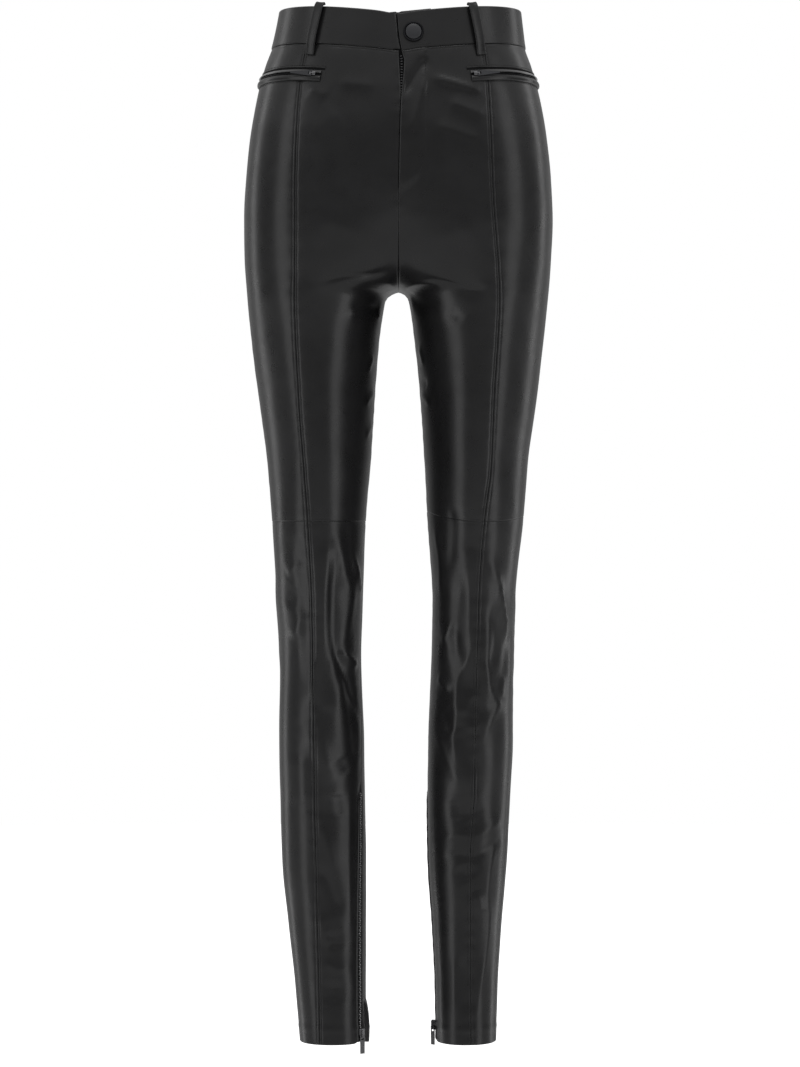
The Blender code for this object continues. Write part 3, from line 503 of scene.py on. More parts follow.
def angle_of(side, points):
    """Angle of points round their leg's centre, from 0 to a full turn."""
    centre, middle = axis_of(side, -points[..., 2])
    return np.arctan2(-(points[..., 1] - middle), -side * (points[..., 0] - centre)) % (2 * math.pi)


def angle_at(side, apart, level):
    """Angle of the place on a leg's front that is this far from the centre plane."""
    half = half_width(side, level)
    centre, middle = axis_of(side, level)
    across = np.clip((apart - side * centre) / half, -0.995, 0.995)
    depth = outline["front"](level) + middle
    power = outline["power"](level)
    ahead = depth * (1 - np.abs(across) ** power) ** (1 / power)
    return np.arctan2(ahead, -across * half)


def folds(side, angle, drop):
    """Height of the largest folds: each is highest along its line and fades to its ends."""
    height = np.zeros(np.broadcast(angle, drop).shape)
    radius = 60.0  # turns an angle into a distance round the leg
    for start_angle, start_drop, end_angle, end_drop, width, tall in FOLDS[side]:
        start = np.array([math.radians(start_angle) * radius, start_drop])
        run = np.array([math.radians(end_angle) * radius, end_drop]) - start
        there = np.stack([angle * radius, drop + 0 * angle], axis=-1) - start
        along = (there @ run) / (run @ run)
        off = there - unit(along)[..., None] * run
        fade = unit(1 - (2 * along - 1) ** 2) ** 0.7
        height += tall * fade * np.exp(-((off**2).sum(-1)) / (width * width))
    return height


def smooth_line(corners, count=17):
    """Points along a smooth curve through a few corners."""
    corners = np.array(corners, float)
    ends = np.concatenate([[2 * corners[0] - corners[1]], corners, [2 * corners[-1] - corners[-2]]])
    found = []
    for t in np.linspace(0, len(corners) - 1, count):
        i = min(int(t), len(corners) - 2)
        a, b, c, d = ends[i : i + 4]
        s = t - i
        bend, twist = 2 * a - 5 * b + 4 * c - d, 3 * b - a - 3 * c + d
        found.append(0.5 * (2 * b + (c - a) * s + bend * s**2 + twist * s**3))
    return np.array(found)


def crease_lines(side):
    """The finer creases of one side: width, height and points by angle and drop."""
    for width, height, *corners in CREASES[side]:
        x, drop = smooth_line(corners, 4 * len(corners) + 5).T
        yield width, height, np.stack([angle_at(side, x, drop), drop], axis=-1)
    for width, height, *corners in BACK_CREASES[side]:
        angle, drop = smooth_line(corners).T
        yield width, height, np.stack([np.radians(angle), drop], axis=-1)


LINES = {side: list(crease_lines(side)) for side in (RIGHT, LEFT)}


def creases(side, angle, drop):
    """Height of the finer creases, highest in the middle of each and fading to its ends."""
    radius = half_width(side, drop)
    height = np.zeros(angle.shape)
    for width, tall, line in LINES[side]:
        mean_angle, mean_drop = line.mean(axis=0)
        rows = np.abs(drop - mean_drop) < np.ptp(line[:, 1]) / 2 + 6 * width
        if not rows.any():
            continue
        turn = (angle[rows] - mean_angle + math.pi) % (2 * math.pi) - math.pi + mean_angle
        here = np.stack([turn * radius[rows], drop[rows]], axis=-1)
        corners = [np.stack([at * radius[rows], 0 * turn + low], axis=-1) for at, low in line]
        best, along = np.full(len(here), 1e9), np.zeros(len(here))
        for step, (start, end) in enumerate(zip(corners, corners[1:])):
            run = end - start
            share = unit(((here - start) * run).sum(-1) / (run**2).sum(-1))
            off = ((here - start - share[:, None] * run) ** 2).sum(-1)
            along = np.where(off < best, (step + share) / (len(line) - 1), along)
            best = np.minimum(best, off)
        fade = 0.1 + 0.9 * ease(unit(np.minimum(along, 1 - along) * 4))
        # A crease in leather has a narrow crest and broad flanks.
        height[rows] += tall * fade * np.exp(CREST - np.sqrt(best / (width * width) + CREST * CREST))
    return height


def waves(points):
    """A slight broad unevenness of the filled leather: waves of different lengths that cross each other."""
    x, y, z = points[..., 0], points[..., 1], points[..., 2]
    return (
        0.30 * np.sin(x / 23 + z / 61 + 1.3) * np.sin(y / 27 - z / 83)
        + 0.22 * np.sin(z / 37 + x / 41) * np.sin(x / 17 - y / 31 + 0.7)
        + 0.12 * np.sin(z / 13 + y / 19 + 2.1) * np.sin(x / 11 + z / 29)
    )


def relief(side, angle, level):
    """How much lower a row runs than its level: the waist dips to the front, the knee seam bends and the hem
    rises to the zip."""
    ahead = unit((angle - CENTRE_FRONT) / (math.pi - CENTRE_FRONT))
    behind = unit((2 * math.pi - CENTRE_FRONT - angle) / (math.pi - CENTRE_FRONT))
    in_front = DIP_FRONT + (DIP_SIDE - DIP_FRONT) * np.sin(ahead * math.pi / 2)
    waist = np.where(angle < math.pi, in_front, DIP_SIDE * np.sin(behind * math.pi / 2))
    knee = -KNEE_BEND * np.cos(angle) ** 2 - KNEE_TILT * np.cos(angle) if side == LEFT else 0 * angle
    from_zip = (angle - np.radians(inseam[side](LENGTH)) + math.pi) % (2 * math.pi) - math.pi
    hem = -HEM_RISE * bell(from_zip * ANKLE_RADIUS, HEM_SPREAD) * unit((level - LENGTH) / HEM_FADE + 1) ** 2
    waist = waist * bell(np.maximum(level - BAND, 0), WAIST_FADE)
    return waist + knee * bell(level - KNEE, KNEE_FADE) + hem


def front_seam_angle(side, level, at_front, lower):
    """Angle of the long front seam on each row. lower is how far the row's front end lies below its level."""
    drop = level
    for _ in range(4):
        angle = angle_at(side, front_seam[side](drop), drop)
        ahead = unit((angle - at_front) / (math.pi - at_front))
        drop = level + relief(side, angle, level) + lower * np.cos(ahead * math.pi / 2) ** 2
    return angle


def surface(side, share, level, first, last):
    """Points, normals, angles and drops on one side of the garment. Each row has a level, and share (rows by
    columns) goes from 0 to 1 between two seams."""
    level, share = np.asarray(level, float), np.asarray(share, float)
    share = np.hstack([0 * level[:, None], share, 0 * level[:, None] + 1])
    full = 2 * math.pi
    at_inseam = np.radians(inseam[side](level))
    front_row = level + relief(side, np.where(level < RISE_END, CENTRE_FRONT, at_inseam), level)
    back_row = level + relief(side, full + np.where(level < RISE_END, -CENTRE_FRONT, at_inseam), level)
    starts, ends = row_end(side, front_row, FRONT), row_end(side, back_row, BACK)
    at_front, at_back = angle_of(side, starts), angle_of(side, ends)
    at_front = np.where(at_front > math.pi, at_front - full, at_front)
    at_back = np.where(at_back < math.pi, at_back + full, at_back)
    at_back = np.where(level > RISE_END, at_front + full, at_back)
    seams = {
        "front": at_front,
        "seam": front_seam_angle(side, level, at_front, -starts[:, 2] - front_row),
        "out": np.radians(outseam[side](level)),
        "back": at_back,
    }
    at_front, at_back = at_front[:, None], at_back[:, None]
    angle = seams[first][:, None] + (seams[last] - seams[first])[:, None] * share
    ahead = unit((angle - at_front) / (math.pi - at_front))
    behind = unit((at_back - angle) / (at_back - math.pi))
    drop = level[:, None] + relief(side, angle, level[:, None])
    drop = drop + (-starts[:, 2] - front_row)[:, None] * np.cos(ahead * math.pi / 2) ** 2
    drop = drop + (-ends[:, 2] - back_row)[:, None] * np.cos(behind * math.pi / 2) ** 2
    points = polar(side, angle, drop)
    for end, near in ((starts, ahead), (ends, behind)):
        at_end = polar(side, angle_of(side, end), -end[:, 2])
        points = points + (end - at_end)[:, None, :] * unit(1 - near / 0.8)[..., None] ** 2
    points = onto_form(points)
    # What the rows' ends still miss is shared out over the columns next to them.
    width = steps(points, 1).sum(axis=1)[:, None]
    for piece, end, target, near in ((first, 0, starts, share), (last, -1, ends, 1 - share)):
        if piece in ("front", "back"):
            miss = (target - points[:, end])[:, None, :]
            points = points + miss * bell(np.maximum(near, 0) * width, 14)[..., None]
    points = points[:, 1:-1]
    return points, normals_at(points), angle[:, 1:-1], drop[:, 1:-1]


def on_leg(side, angle, drop):
    """Points and normals by angle round a leg and drop, away from the centre plane."""
    angle, drop = np.broadcast_arrays(np.asarray(angle, float), np.asarray(drop, float))
    points = onto_form(polar(side, angle, drop))
    normals = normals_at(points)
    return points + normals * folds(side, angle, drop)[..., None], normals


def on_trunk(x, level, facing):
    """Points and normals on the front or back, by distance from the centre plane and level."""
    x, level = np.broadcast_arrays(np.asarray(x, float), np.asarray(level, float))
    points = place(x, level, facing)
    dips = [relief(side, angle_of(side, points), level) for side in (RIGHT, LEFT)]
    points = place(x, level + np.where(x < 0, *dips), facing)
    return points, normals_at(points)


# ---- meshes and leather panels


def finished(made, *nodes, slot="leather"):
    """Puts a piece on the garment, in place of the solids that it stands for."""
    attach(made, "garment")
    if nodes:
        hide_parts(*nodes)


def put(name, data):
    """A new object in the scene."""
    made = bpy.data.objects.new(name, data)
    bpy.context.scene.collection.objects.link(made)
    return made


def add_mesh(name, points, faces, finish, flat_angle=60):
    """A mesh object from points in millimetres, shaded smooth."""
    mesh = bpy.data.meshes.new(name)
    points, faces = np.asarray(points, float) * MM, np.asarray(faces, int)
    mesh.vertices.add(len(points))
    mesh.vertices.foreach_set("co", points.ravel())
    mesh.loops.add(faces.size)
    mesh.loops.foreach_set("vertex_index", faces.ravel())
    mesh.polygons.add(len(faces))
    mesh.polygons.foreach_set("loop_start", np.arange(0, faces.size, faces.shape[1]))
    mesh.update(calc_edges=True)
    mesh.validate()
    mesh.materials.append(finish)
    mesh.shade_smooth()
    mesh.set_sharp_from_angle(angle=math.radians(flat_angle))
    return put(name, mesh)


def shell(name, points, normals, thick, finish):
    """A closed thin shell. points is its outer face, as a grid, and thick its thickness, or one for each."""
    rows, across = points.shape[:2]
    inner = points - normals * np.broadcast_to(thick, points.shape[:2])[..., None]
    every = np.concatenate([points.reshape(-1, 3), inner.reshape(-1, 3)])
    below = rows * across
    index = np.arange(below).reshape(rows, across)
    corners = [index[:-1, :-1], index[:-1, 1:], index[1:, 1:], index[1:, :-1]]
    outer = np.stack(corners, axis=-1).reshape(-1, 4)
    rim = np.concatenate([index[0, :-1], index[:-1, -1], index[-1, :0:-1], index[:0:-1, 0]])
    turn = np.roll(rim, -1)
    sides = np.stack([turn, rim, below + rim, below + turn], axis=-1)
    faces = np.concatenate([outer, below + outer[:, ::-1], sides])
    # Faces point outwards: the middle quad's own normal tells which way round they run.
    middle = outer[len(outer) // 2]
    p, q, r = every[middle[[0, 1, 3]]]
    if np.cross(q - p, r - p) @ normals.reshape(-1, 3)[middle[0]] < 0:
        faces = faces[:, ::-1]
    return add_mesh(name, every, faces, finish)


def roll(away, width):
    """0 beyond a width from an edge, rising as a quarter circle to 1 at it."""
    near = unit(1 - np.asarray(away) / width)
    return 1 - np.sqrt(1 - near**2)


def seam_fall(away, stitched):
    """How far the leather drops beside a seam: deep at it, and a little along the row of stitches there."""
    return SEAM_DEPTH * roll(away, SEAM_ROLL) + stitched * bell(away - STITCH_ROW, DENT_WIDTH)


def lip(away, shape):
    """A rolled edge: its place, half width and height."""
    at, width, tall = shape
    return tall * bell(away - at, width)


NEAR = np.array(EDGE) - EDGE[0]


def spaced(length, first, last, step=GRID):
    """Places along a length, closer together near its ends, which lie first and last from the seams."""
    start, end = NEAR + first, length - (NEAR + last)
    count = max(int((end[-1] - start[-1]) / step), 2)
    return np.concatenate([start, np.linspace(start[-1], end[-1], count + 1)[1:-1], end[::-1]])


def row_widths(side, levels, first, last):
    """Length of each row from seam to seam."""
    share = np.broadcast_to(np.linspace(0, 1, 15), (len(levels), 15))
    return steps(surface(side, share, levels, first, last)[0], 1).sum(axis=1)


def shares(widths, first, last):
    """Columns for every row: at fixed distances near each seam and even between them."""
    count = len(spaced(np.median(widths), EDGE[0], EDGE[0])) - 2 * len(EDGE)
    start, end = first[:, None] + NEAR, widths[:, None] - last[:, None] - NEAR
    between = np.linspace(0, 1, count + 2)[None, 1:-1]
    middle = start[:, -1:] + (end[:, -1:] - start[:, -1:]) * between
    return np.concatenate([start, middle, end[:, ::-1]], axis=1) / widths[:, None]


def build_panel(name, side, first, last, top, bottom, gape):
    """One leather panel as a fine shell, turned down into its seams. gape is the edge along an ankle zip."""
    hem = bottom == LENGTH
    levels = top + spaced(bottom - top, EDGE[0], 0.0 if hem else EDGE[0])
    starts, ends = (zip_gape(levels) if gape == edge else 0 * levels + EDGE[0] for edge in ("first", "last"))
    widths = row_widths(side, levels, first, last)
    share = shares(widths, starts, ends)
    points, normals, angle, drop = surface(side, share, levels, first, last)
    from_first, from_last = share * widths[:, None], (1 - share) * widths[:, None]
    off_first, off_last = from_first - starts[:, None], from_last - ends[:, None]
    above, below = (levels - top)[:, None], (bottom - levels)[:, None]
    across = ROW_DENTS["across"]
    down = np.maximum.reduce([
        seam_fall(off_first + EDGE[0], ROW_DENTS[first]),
        seam_fall(off_last + EDGE[0], ROW_DENTS[last]),
        seam_fall(above, across) * (KNEE_SHARE if top == KNEE else 1) + 0 * share,
    ])
    if not hem:
        down = np.maximum(down, seam_fall(below, across) * KNEE_SHARE)
    # Seams draw the leather in a little, unevenly along them.
    away = np.minimum(off_first, off_last)
    along = np.where(away < above, points[..., 2], points[..., 0])
    near = np.minimum(away, above)
    pucker = PUCKER * np.sin(along / PUCKER_LENGTH + 2 * np.sin(along / PUCKER_SWAY))
    pucker = pucker * bell(near, PUCKER_REACH)
    height = folds(side, angle, drop) + creases(side, angle, drop) + waves(points)
    height = height - down + pucker - DRAW * bell(near, DRAW_REACH)
    if name.startswith("front_centre"):
        height += fly_step(points, side, from_first)
    if gape:
        from_lip = (from_first if gape == "first" else from_last) - (ZIP_GAPE / 2 - EDGE[0])
        height += lip(from_lip, ZIP_LIP) * unit((levels - ZIP_TOP) / GAPE_START)[:, None]
    thick = SKIN
    if hem:
        height += lip(below, HEM_LIP) + HEM_PROUD * (below < HEM)
        turned_in = roll(below, HEM_ROUND)
        thick = SKIN + HEM_SKIN * (1 - turned_in)
        height = height - 0.5 * turned_in
    made = shell(f"{name}_leather", points + normals * height[..., None], normals, thick, leather)
    cut_of(points)
    finished(made, name)


def cut_of(points):
    """Works out the width, length and area that a shell's form has when laid flat; nothing is done with them.
    """
    across, down = steps(points, 1), steps(points, 0)
    width, length = across.sum(axis=1).max(), down.sum(axis=0).max()
    area = ((across[:-1] + across[1:]) / 2 * (down[:, :-1] + down[:, 1:]) / 2).sum()
    area = min(max(area, 0.31 * width * length), width * length)


def to_line(points, corners):
    """Distance of points from a smooth line on the front, above 0 on the wearer's left of it."""
    line = smooth_line(corners, 60)
    x, drop = points[..., 0], -points[..., 2]
    best, sign = np.full(x.shape, 1e9), np.ones(x.shape)
    for a, b in zip(line[:-1], line[1:]):
        run = b - a
        t = unit(((x - a[0]) * run[0] + (drop - a[1]) * run[1]) / (run @ run))
        off_x, off_drop = x - a[0] - t * run[0], drop - a[1] - t * run[1]
        away = np.hypot(off_x, off_drop)
        closer = away < best
        side = np.sign(run[1] * off_x - run[0] * off_drop)
        best, sign = np.where(closer, away, best), np.where(closer, side, sign)
    return best * sign


def fly_step(points, side, from_edge):
    """The fly's facing makes the leather over it stand proud, up to its curved stitch line, and both fronts
    have a rounded lip along the opening."""
    drop = -points[..., 2]
    front = (points[..., 1] < 0) & (drop < FLY_END)
    opening = lip(from_edge, FRONT_LIP) * unit((LIP_END - drop) / LIP_FADE)
    if side == RIGHT:
        return np.where(front, opening, 0)
    away = to_line(points, FLY_EDGE)
    step = FLY_STEP / (1 + np.exp(np.clip(away / FLY_SLOPE, -30, 30)))
    line = lip(away, FLY_GROOVE) + lip(away, FLY_RIDGE)
    return np.where(front & (points[..., 0] < FLY_SIDE), step + line + opening, 0)


def zip_gape(levels):
    """The panels' edges part along an ankle zip."""
    return EDGE[0] + (ZIP_GAPE / 2 - EDGE[0]) * ease(unit((levels - ZIP_TOP + GAPE_START) / GAPE_RUN))


def build_leg(side):
    parts = (
        ("front_centre", "front", "seam", BAND, KNEE, None),
        ("front_side", "seam", "out", BAND, KNEE, None),
        ("back", "out", "back", BAND, KNEE, None),
        ("shin_inner", "front", "seam", KNEE, LENGTH, "first"),
        ("shin_outer", "seam", "out", KNEE, LENGTH, None),
        ("calf", "out", "back", KNEE, LENGTH, "last"),
    )
    for part, *rest in parts:
        build_panel(f"{part}_{NAMES[side]}", side, *rest)


# ---- band, loops and pockets


def finer_ends(*grids):
    """Adds columns close to both ends of grids, for rounded edges there."""
    made = []
    for grid in grids:
        for _ in range(2):
            close = grid[:, :1] + (grid[:, 1:2] - grid[:, :1]) * np.array(FINE_SHARES)[None, :, None]
            grid = np.hstack([close, grid[:, 1:]])[:, ::-1]
        made.append(grid)
    return made


def from_ends(points):
    """How far each point of a grid is from the nearer end of its row."""
    away = travel(points, 1)
    return np.minimum(away, away[:, -1:] - away)


def band_shell(node, points, normals):
    """One piece of the waistband: two layers of leather with rounded edges, turned over at the top."""
    from_top = travel(points)
    from_bottom = from_top[-1:] - from_top
    radius = BAND_WALL / 2
    edges = [roll(from_top, radius), roll(from_bottom, 1.0) * 0.8, roll(from_ends(points), BAND_ROUND)]
    down = radius * np.maximum.reduce(edges)
    swell = BAND_SWELL * np.sin(unit(from_top / BAND) * math.pi)
    outer = points + normals * (BAND_PROUD + swell - down + 0.5 * waves(points))[..., None]
    made = shell(f"{node}_leather", outer, normals, BAND_WALL - 2 * down + swell, leather)
    cut_of(points)
    finished(made, node)


def band_grid(side, pieces, levels):
    """Points and normals over panels that lie next to each other."""
    grids = []
    for first, last in pieces:
        count = int(row_widths(side, levels, first, last).mean() / BAND_COLUMN)
        share = np.broadcast_to(np.linspace(0, 1, count), (len(levels), count))
        grids.append(surface(side, share, levels, first, last)[:2])
    return [np.hstack([grid[:, min(i, 1) :] for i, grid in enumerate(both)]) for both in zip(*grids)]


def build_waistband():
    levels = spaced(BAND, 0.0, EDGE[0], BAND_GRID)
    fronts, behind = (("front", "seam"), ("seam", "out")), (("out", "back"),)
    band_shell("waistband_left", *finer_ends(*band_grid(LEFT, fronts, levels)))

    # The right end goes on past the centre and under the left one, a little higher.
    x = np.linspace(UNDERLAP, -3, 30)[None, :]
    higher = UNDERLAP_RISE * unit((x + 1) / 4) * (1 - levels[:, None] / BAND)
    under = on_trunk(x, levels[:, None] - higher, FRONT)
    joined = 3  # columns of the right front that the underlap takes the place of
    both = zip(under, band_grid(RIGHT, fronts, levels))
    points, normals = (np.hstack([end, rest[:, joined:]]) for end, rest in both)
    past_fly = points[..., 0] - fly[LEFT](-points[..., 2]) + UNDERLAP_START
    sink = (BAND_WALL + SEAM_GAP) / (1 + np.exp(-past_fly / UNDERLAP_STEP))
    band_shell("waistband_right", *finer_ends(points - normals * sink[..., None], normals))

    halves = zip(band_grid(RIGHT, behind, levels), band_grid(LEFT, behind, levels))
    whole = (np.hstack([right, left[:, -2::-1]]) for right, left in halves)
    band_shell("waistband_back", *finer_ends(*whole))


def build_loops():
    """Belt loops: folded strips with proud edges, a sunk middle and two rows of stitches."""
    levels, lifts = smooth_line(LOOP_PATH, 56).T
    sides = np.array([-share for share in LOOP_SIDE[:0:-1]] + list(LOOP_SIDE))
    edge = LOOP_WIDTH * (0.5 - np.abs(sides))
    half = LOOP_THICK / 2 * (1 - roll(edge, LOOP_ROUND))
    sunk = -LOOP_SUNK * unit(1 - np.exp(-((edge / LOOP_EDGE) ** 4)))
    for name, facing, top, bottom in LOOPS:
        x = top + (bottom - top) * (levels - levels[0]) / (levels[-1] - levels[0])
        points, normals = on_trunk(x, levels, facing)
        centres = points + normals * lifts[:, None]
        along = unit_rows(np.gradient(centres, axis=0))
        across = unit_rows(np.cross(centres[-1] - centres[len(centres) // 3], normals))
        outward = np.cross(across, along)
        outer = centres[:, None] + across[:, None] * (LOOP_WIDTH * sides)[None, :, None]
        grid = outer + outward[:, None] * (half + sunk)[None, :, None]
        spread = np.repeat(outward[:, None], len(sides), axis=1)
        made = shell(f"{name}_leather", grid, spread, 2 * half + sunk + 0.02, leather)
        finished(made, name)
        for side in (RIGHT, LEFT):
            line = centres + across * LOOP_WIDTH * side * LOOP_STITCHES + outward * (LOOP_THICK / 2 - 0.25)
            stitches(f"{name}_stitches_{NAMES[side]}", line[8:-1], outward[8:-1])


def on_pocket(side, angle, drop, first):
    """Points and normals along a pocket, whose lines sag towards their inner end, at the first angle."""
    share = (angle - first) / (POCKET_END - first)
    return on_leg(side, angle, drop + POCKET_SAG * unit(1 - 2 * share) ** 2)


def build_welts(side):
    """The upper welt slopes out to its lower edge, and the lower one is a soft roll."""
    first = float(angle_at(side, POCKET_INNER[side], POCKET_DROP))
    angles = np.linspace(first, POCKET_END, 90)
    for part, top, bottom in POCKET_STRIPS:
        near, tall = np.array(WELT_ROWS), bottom - top
        drops = top + np.concatenate([near, np.linspace(1.4, tall - 1.4, 5), tall - near[::-1]])
        points, normals = finer_ends(*on_pocket(side, angles[None, :], drops[:, None], first))
        from_edge = np.minimum(drops - top, bottom - drops)[:, None]
        down = WELT * 0.55 * np.maximum(roll(from_edge, 1.0), roll(from_ends(points), 1.3))
        share = ((drops - top) / (bottom - top))[:, None]
        upper = part == "welt_upper"
        swell = WELT_SLOPE * share + WELT_START if upper else WELT_SWELL * np.sin(share * math.pi)
        height = SEAM_GAP + WELT + swell - down
        node = f"pocket_{NAMES[side]}_{part}"
        outer, finish = points + normals * height[..., None], welt_leather if upper else leather
        finished(shell(f"{node}_leather", outer, normals, height - 0.6 * SEAM_GAP, finish), node)
    build_piping(side, first - 0.03)


def build_piping(side, first):
    """The pocket's folded upper edge, above the upper welt, and below it a dark strip of zip tape that is
    painted shade: it stands for the shade in the gap between the edge and the welt.
    """
    angles = np.linspace(first, POCKET_END, 90)
    rows = np.array(PIPING_ROWS)
    # The dark strip is painted shade: matt black tape laid where the gap under the piping lies in shade.
    parts = (("piping", PIPING, leather, "leather"), ("painted_shade_strip", PAINTED_SHADE_STRIP, tape, "zip_tape"))
    for part, (top, bottom, high), finish, slot in parts:
        points, normals = on_pocket(side, angles[None, :], (top + (bottom - top) * rows)[:, None], first)
        rise = high * np.sqrt(unit(1 - (rows * 2 - 1) ** 2))[:, None] + waves(points) + 0.02
        outer = points + normals * rise[..., None]
        made = shell(f"pocket_{NAMES[side]}_{part}", outer, normals, 0.3 + high * 0.5, finish)
        finished(made, slot=slot)


# ---- small repeated pieces


def template(kind):
    """Points and faces of a small shape about 1 mm across: a stitch or a rounded block."""
    work = bmesh.new()
    if kind == "stitch":
        bmesh.ops.create_uvsphere(work, u_segments=6, v_segments=5, radius=0.5)
        bmesh.ops.transform(work, matrix=Matrix.Rotation(math.pi / 2, 4, "Y"), verts=work.verts)
    else:
        bmesh.ops.create_cube(work, size=1.0)
        bmesh.ops.bevel(work, geom=work.edges[:], offset=0.16, segments=2, profile=0.6, affect="EDGES")
    bmesh.ops.triangulate(work, faces=work.faces[:])
    points = np.array([corner.co[:] for corner in work.verts])
    faces = np.array([[corner.index for corner in face.verts] for face in work.faces])
    work.free()
    return points, faces


STITCH, BLOCK = template("stitch"), template("block")


def copies(name, shape, centres, axes, sizes, finish):
    """One mesh of many copies of a small shape. axes holds each copy's three directions."""
    points, faces = shape
    scaled = points[None] * np.broadcast_to(sizes, (len(centres), 3))[:, None, :]
    every = centres[:, None] + np.einsum("nij,njk->nik", scaled, axes)
    index = faces[None] + (np.arange(len(centres)) * len(points))[:, None, None]
    return add_mesh(name, every.reshape(-1, 3), index.reshape(-1, 3), finish, 70)


def along_path(points, normals, pitch):
    """Even places along a path: centres, and the three directions at each."""
    length = travel(points)
    at = np.arange(pitch / 2, length[-1], pitch)
    along = unit_rows(blend_at(at + 0.3, length, points) - blend_at(at - 0.3, length, points))
    outward = blend_at(at, length, normals)
    outward = unit_rows(outward - along * (outward * along).sum(-1, keepdims=True))
    return blend_at(at, length, points), np.stack([along, np.cross(outward, along), outward], axis=1)


def stitches(name, points, normals, thick=STITCH_THICK):
    centres, axes = along_path(points, normals, STITCH_PITCH)
    finished(copies(name, STITCH, centres, axes, (STITCH_LENGTH, thick, thick), thread))


def teeth(name, points, normals, kind, finish, shift=0.0):
    """A row of zip teeth, moved in turn to one side and the other."""
    pitch, size = kind
    centres, axes = along_path(points, normals, pitch)
    shifts = np.where(np.arange(len(centres)) % 2, shift, -shift)
    made = copies(f"{name}_teeth", BLOCK, centres + axes[:, 1] * shifts[:, None], axes, size, finish)
    finished(made, slot="zip_metal")


def build_seam_stitches(side):
    """Rows of stitches on both sides of the long front seam."""
    rows = (("inner", "front", "seam"), ("outer", "seam", "out"))
    for part, low, high in (("upper", BAND + 4, KNEE - 3), ("lower", KNEE + 3, LENGTH - 3)):
        levels = np.linspace(low, high, 240)
        for where, first, last in rows:
            share = STITCH_ROW / row_widths(side, levels, first, last)[:, None]
            share = 1 - share if where == "inner" else share
            points, normals, angle, drop = surface(side, share, levels, first, last)
            height = folds(side, angle, drop) + creases(side, angle, drop) + waves(points) - 0.45
            points = (points + normals * height[..., None])[:, 0]
            stitches(f"seam_stitches_{where}_{part}_{NAMES[side]}", points, normals[:, 0], thick=0.5)


def build_band_stitches():
    """A row of stitches along the lower edge of the band's lapping end."""
    x = np.linspace(fly[LEFT](BAND + DIP_FRONT) + 3.0, 34, 40)
    points, normals = on_trunk(x, BAND - STITCH_ROW, FRONT)
    stitches("band_stitches", points + normals * (BAND_PROUD + 0.2), normals)


def build_fly_stitches():
    """The curved row of stitches that holds the fly's facing, in its groove."""
    x, drop = smooth_line([(x + FLY_GROOVE[0], drop) for x, drop in FLY_EDGE], 120).T
    points = place(x, drop, FRONT)
    normals = normals_at(points)
    stitches("fly_stitches", points + normals * (0.55 + waves(points))[:, None], normals)


def build_pocket_stitches(side):
    """A line of stitches round each pocket's welts."""
    inner = POCKET_INNER[side] - STITCHES_PAST
    first = float(angle_at(side, inner, POCKET_DROP))
    lines = {part: (np.linspace(first, STITCHES_END, 60), drop) for part, drop in POCKET_FRAME.items()}
    end_drops = np.linspace(*POCKET_FRAME.values(), 12)
    lines["end"] = angle_at(side, inner, end_drops), end_drops
    for part, (angle, drop) in lines.items():
        points, normals = on_pocket(side, angle, drop, first)
        points = points + normals * (waves(points) + 0.05)[:, None]
        stitches(f"pocket_{NAMES[side]}_stitches_{part}", points, normals)


# ---- zips and button


def build_ankle_teeth(side):
    drops = np.linspace(ZIP_TOP + 2, SLIDER_DROP[side] - 4, 200)
    points, normals = on_leg(side, np.radians(inseam[side](drops)), drops)
    points = points - normals * ANKLE_DEPTH
    teeth(f"ankle_{NAMES[side]}", points, normals, ANKLE_TEETH, metal_bright, shift=0.5)


def build_fly_teeth():
    drops = np.linspace(60, 150, 60)
    points = place((fly[LEFT](drops) + fly[RIGHT](drops)) / 2, drops, FRONT)
    normals = normals_at(points)
    # The teeth are real, but their darker metal is painted shade: it keeps the fly's gap dark, with only
    # faint glints.
    teeth("fly", points - normals * FLY_DEPTH, normals, FLY_TEETH, fly_teeth_painted_shade_metal)


def build_pocket_teeth(side):
    first = float(angle_at(side, POCKET_INNER[side] + 3, POCKET_DROP))
    points, normals = on_pocket(side, np.linspace(first, STITCHES_END, 120), POCKET_DROP, first)
    teeth(f"pocket_{NAMES[side]}", points + normals * POCKET_PROUD, normals, POCKET_TEETH, metal_black)


def build_button():
    """A leather-covered button: a dark rolled rim round a smooth, slightly domed face."""
    point = place(BUTTON_X, BUTTON_DROP, FRONT)
    normal = normals_at(point)
    z = Vector(normal).normalized()
    x = (Vector((1, 0, 0)) - z * z.x).normalized()
    at = Matrix((x, z.cross(x), z)).transposed().to_4x4()
    at.translation = Vector(point + normal * (BAND_PROUD + SEAM_GAP)) * MM
    for name, profile, finish in (("rim", BUTTON_RIM, metal_black), ("face", BUTTON_FACE, button_leather)):
        made = turned(f"button_{name}", profile, 72, finish)
        made.data.transform(at)
        finished(made, "waist_button", slot="button")


def turned(name, profile, turns, finish):
    """A closed profile turned about Z. It starts and ends on the axis."""
    radius, height = np.array(profile[1:-1]).T
    angle = np.linspace(0, 2 * math.pi, turns, endpoint=False)[:, None]
    ring = [radius * np.cos(angle), radius * np.sin(angle), height + 0 * angle]
    ends = [[0, 0, profile[0][1]], [0, 0, profile[-1][1]]]
    points = np.concatenate([np.stack(ring, axis=-1).reshape(-1, 3), ends])
    low, high, count = len(points) - 2, len(points) - 1, len(radius)
    faces = []
    for turn in range(turns):
        here, there = turn * count, (turn + 1) % turns * count
        faces += [(low, there, here), (high, here + count - 1, there + count - 1)]
        for i in range(count - 1):
            faces += [(here + i, there + i, there + i + 1), (here + i, there + i + 1, here + i + 1)]
    return add_mesh(name, points, faces, finish)


# ---- materials


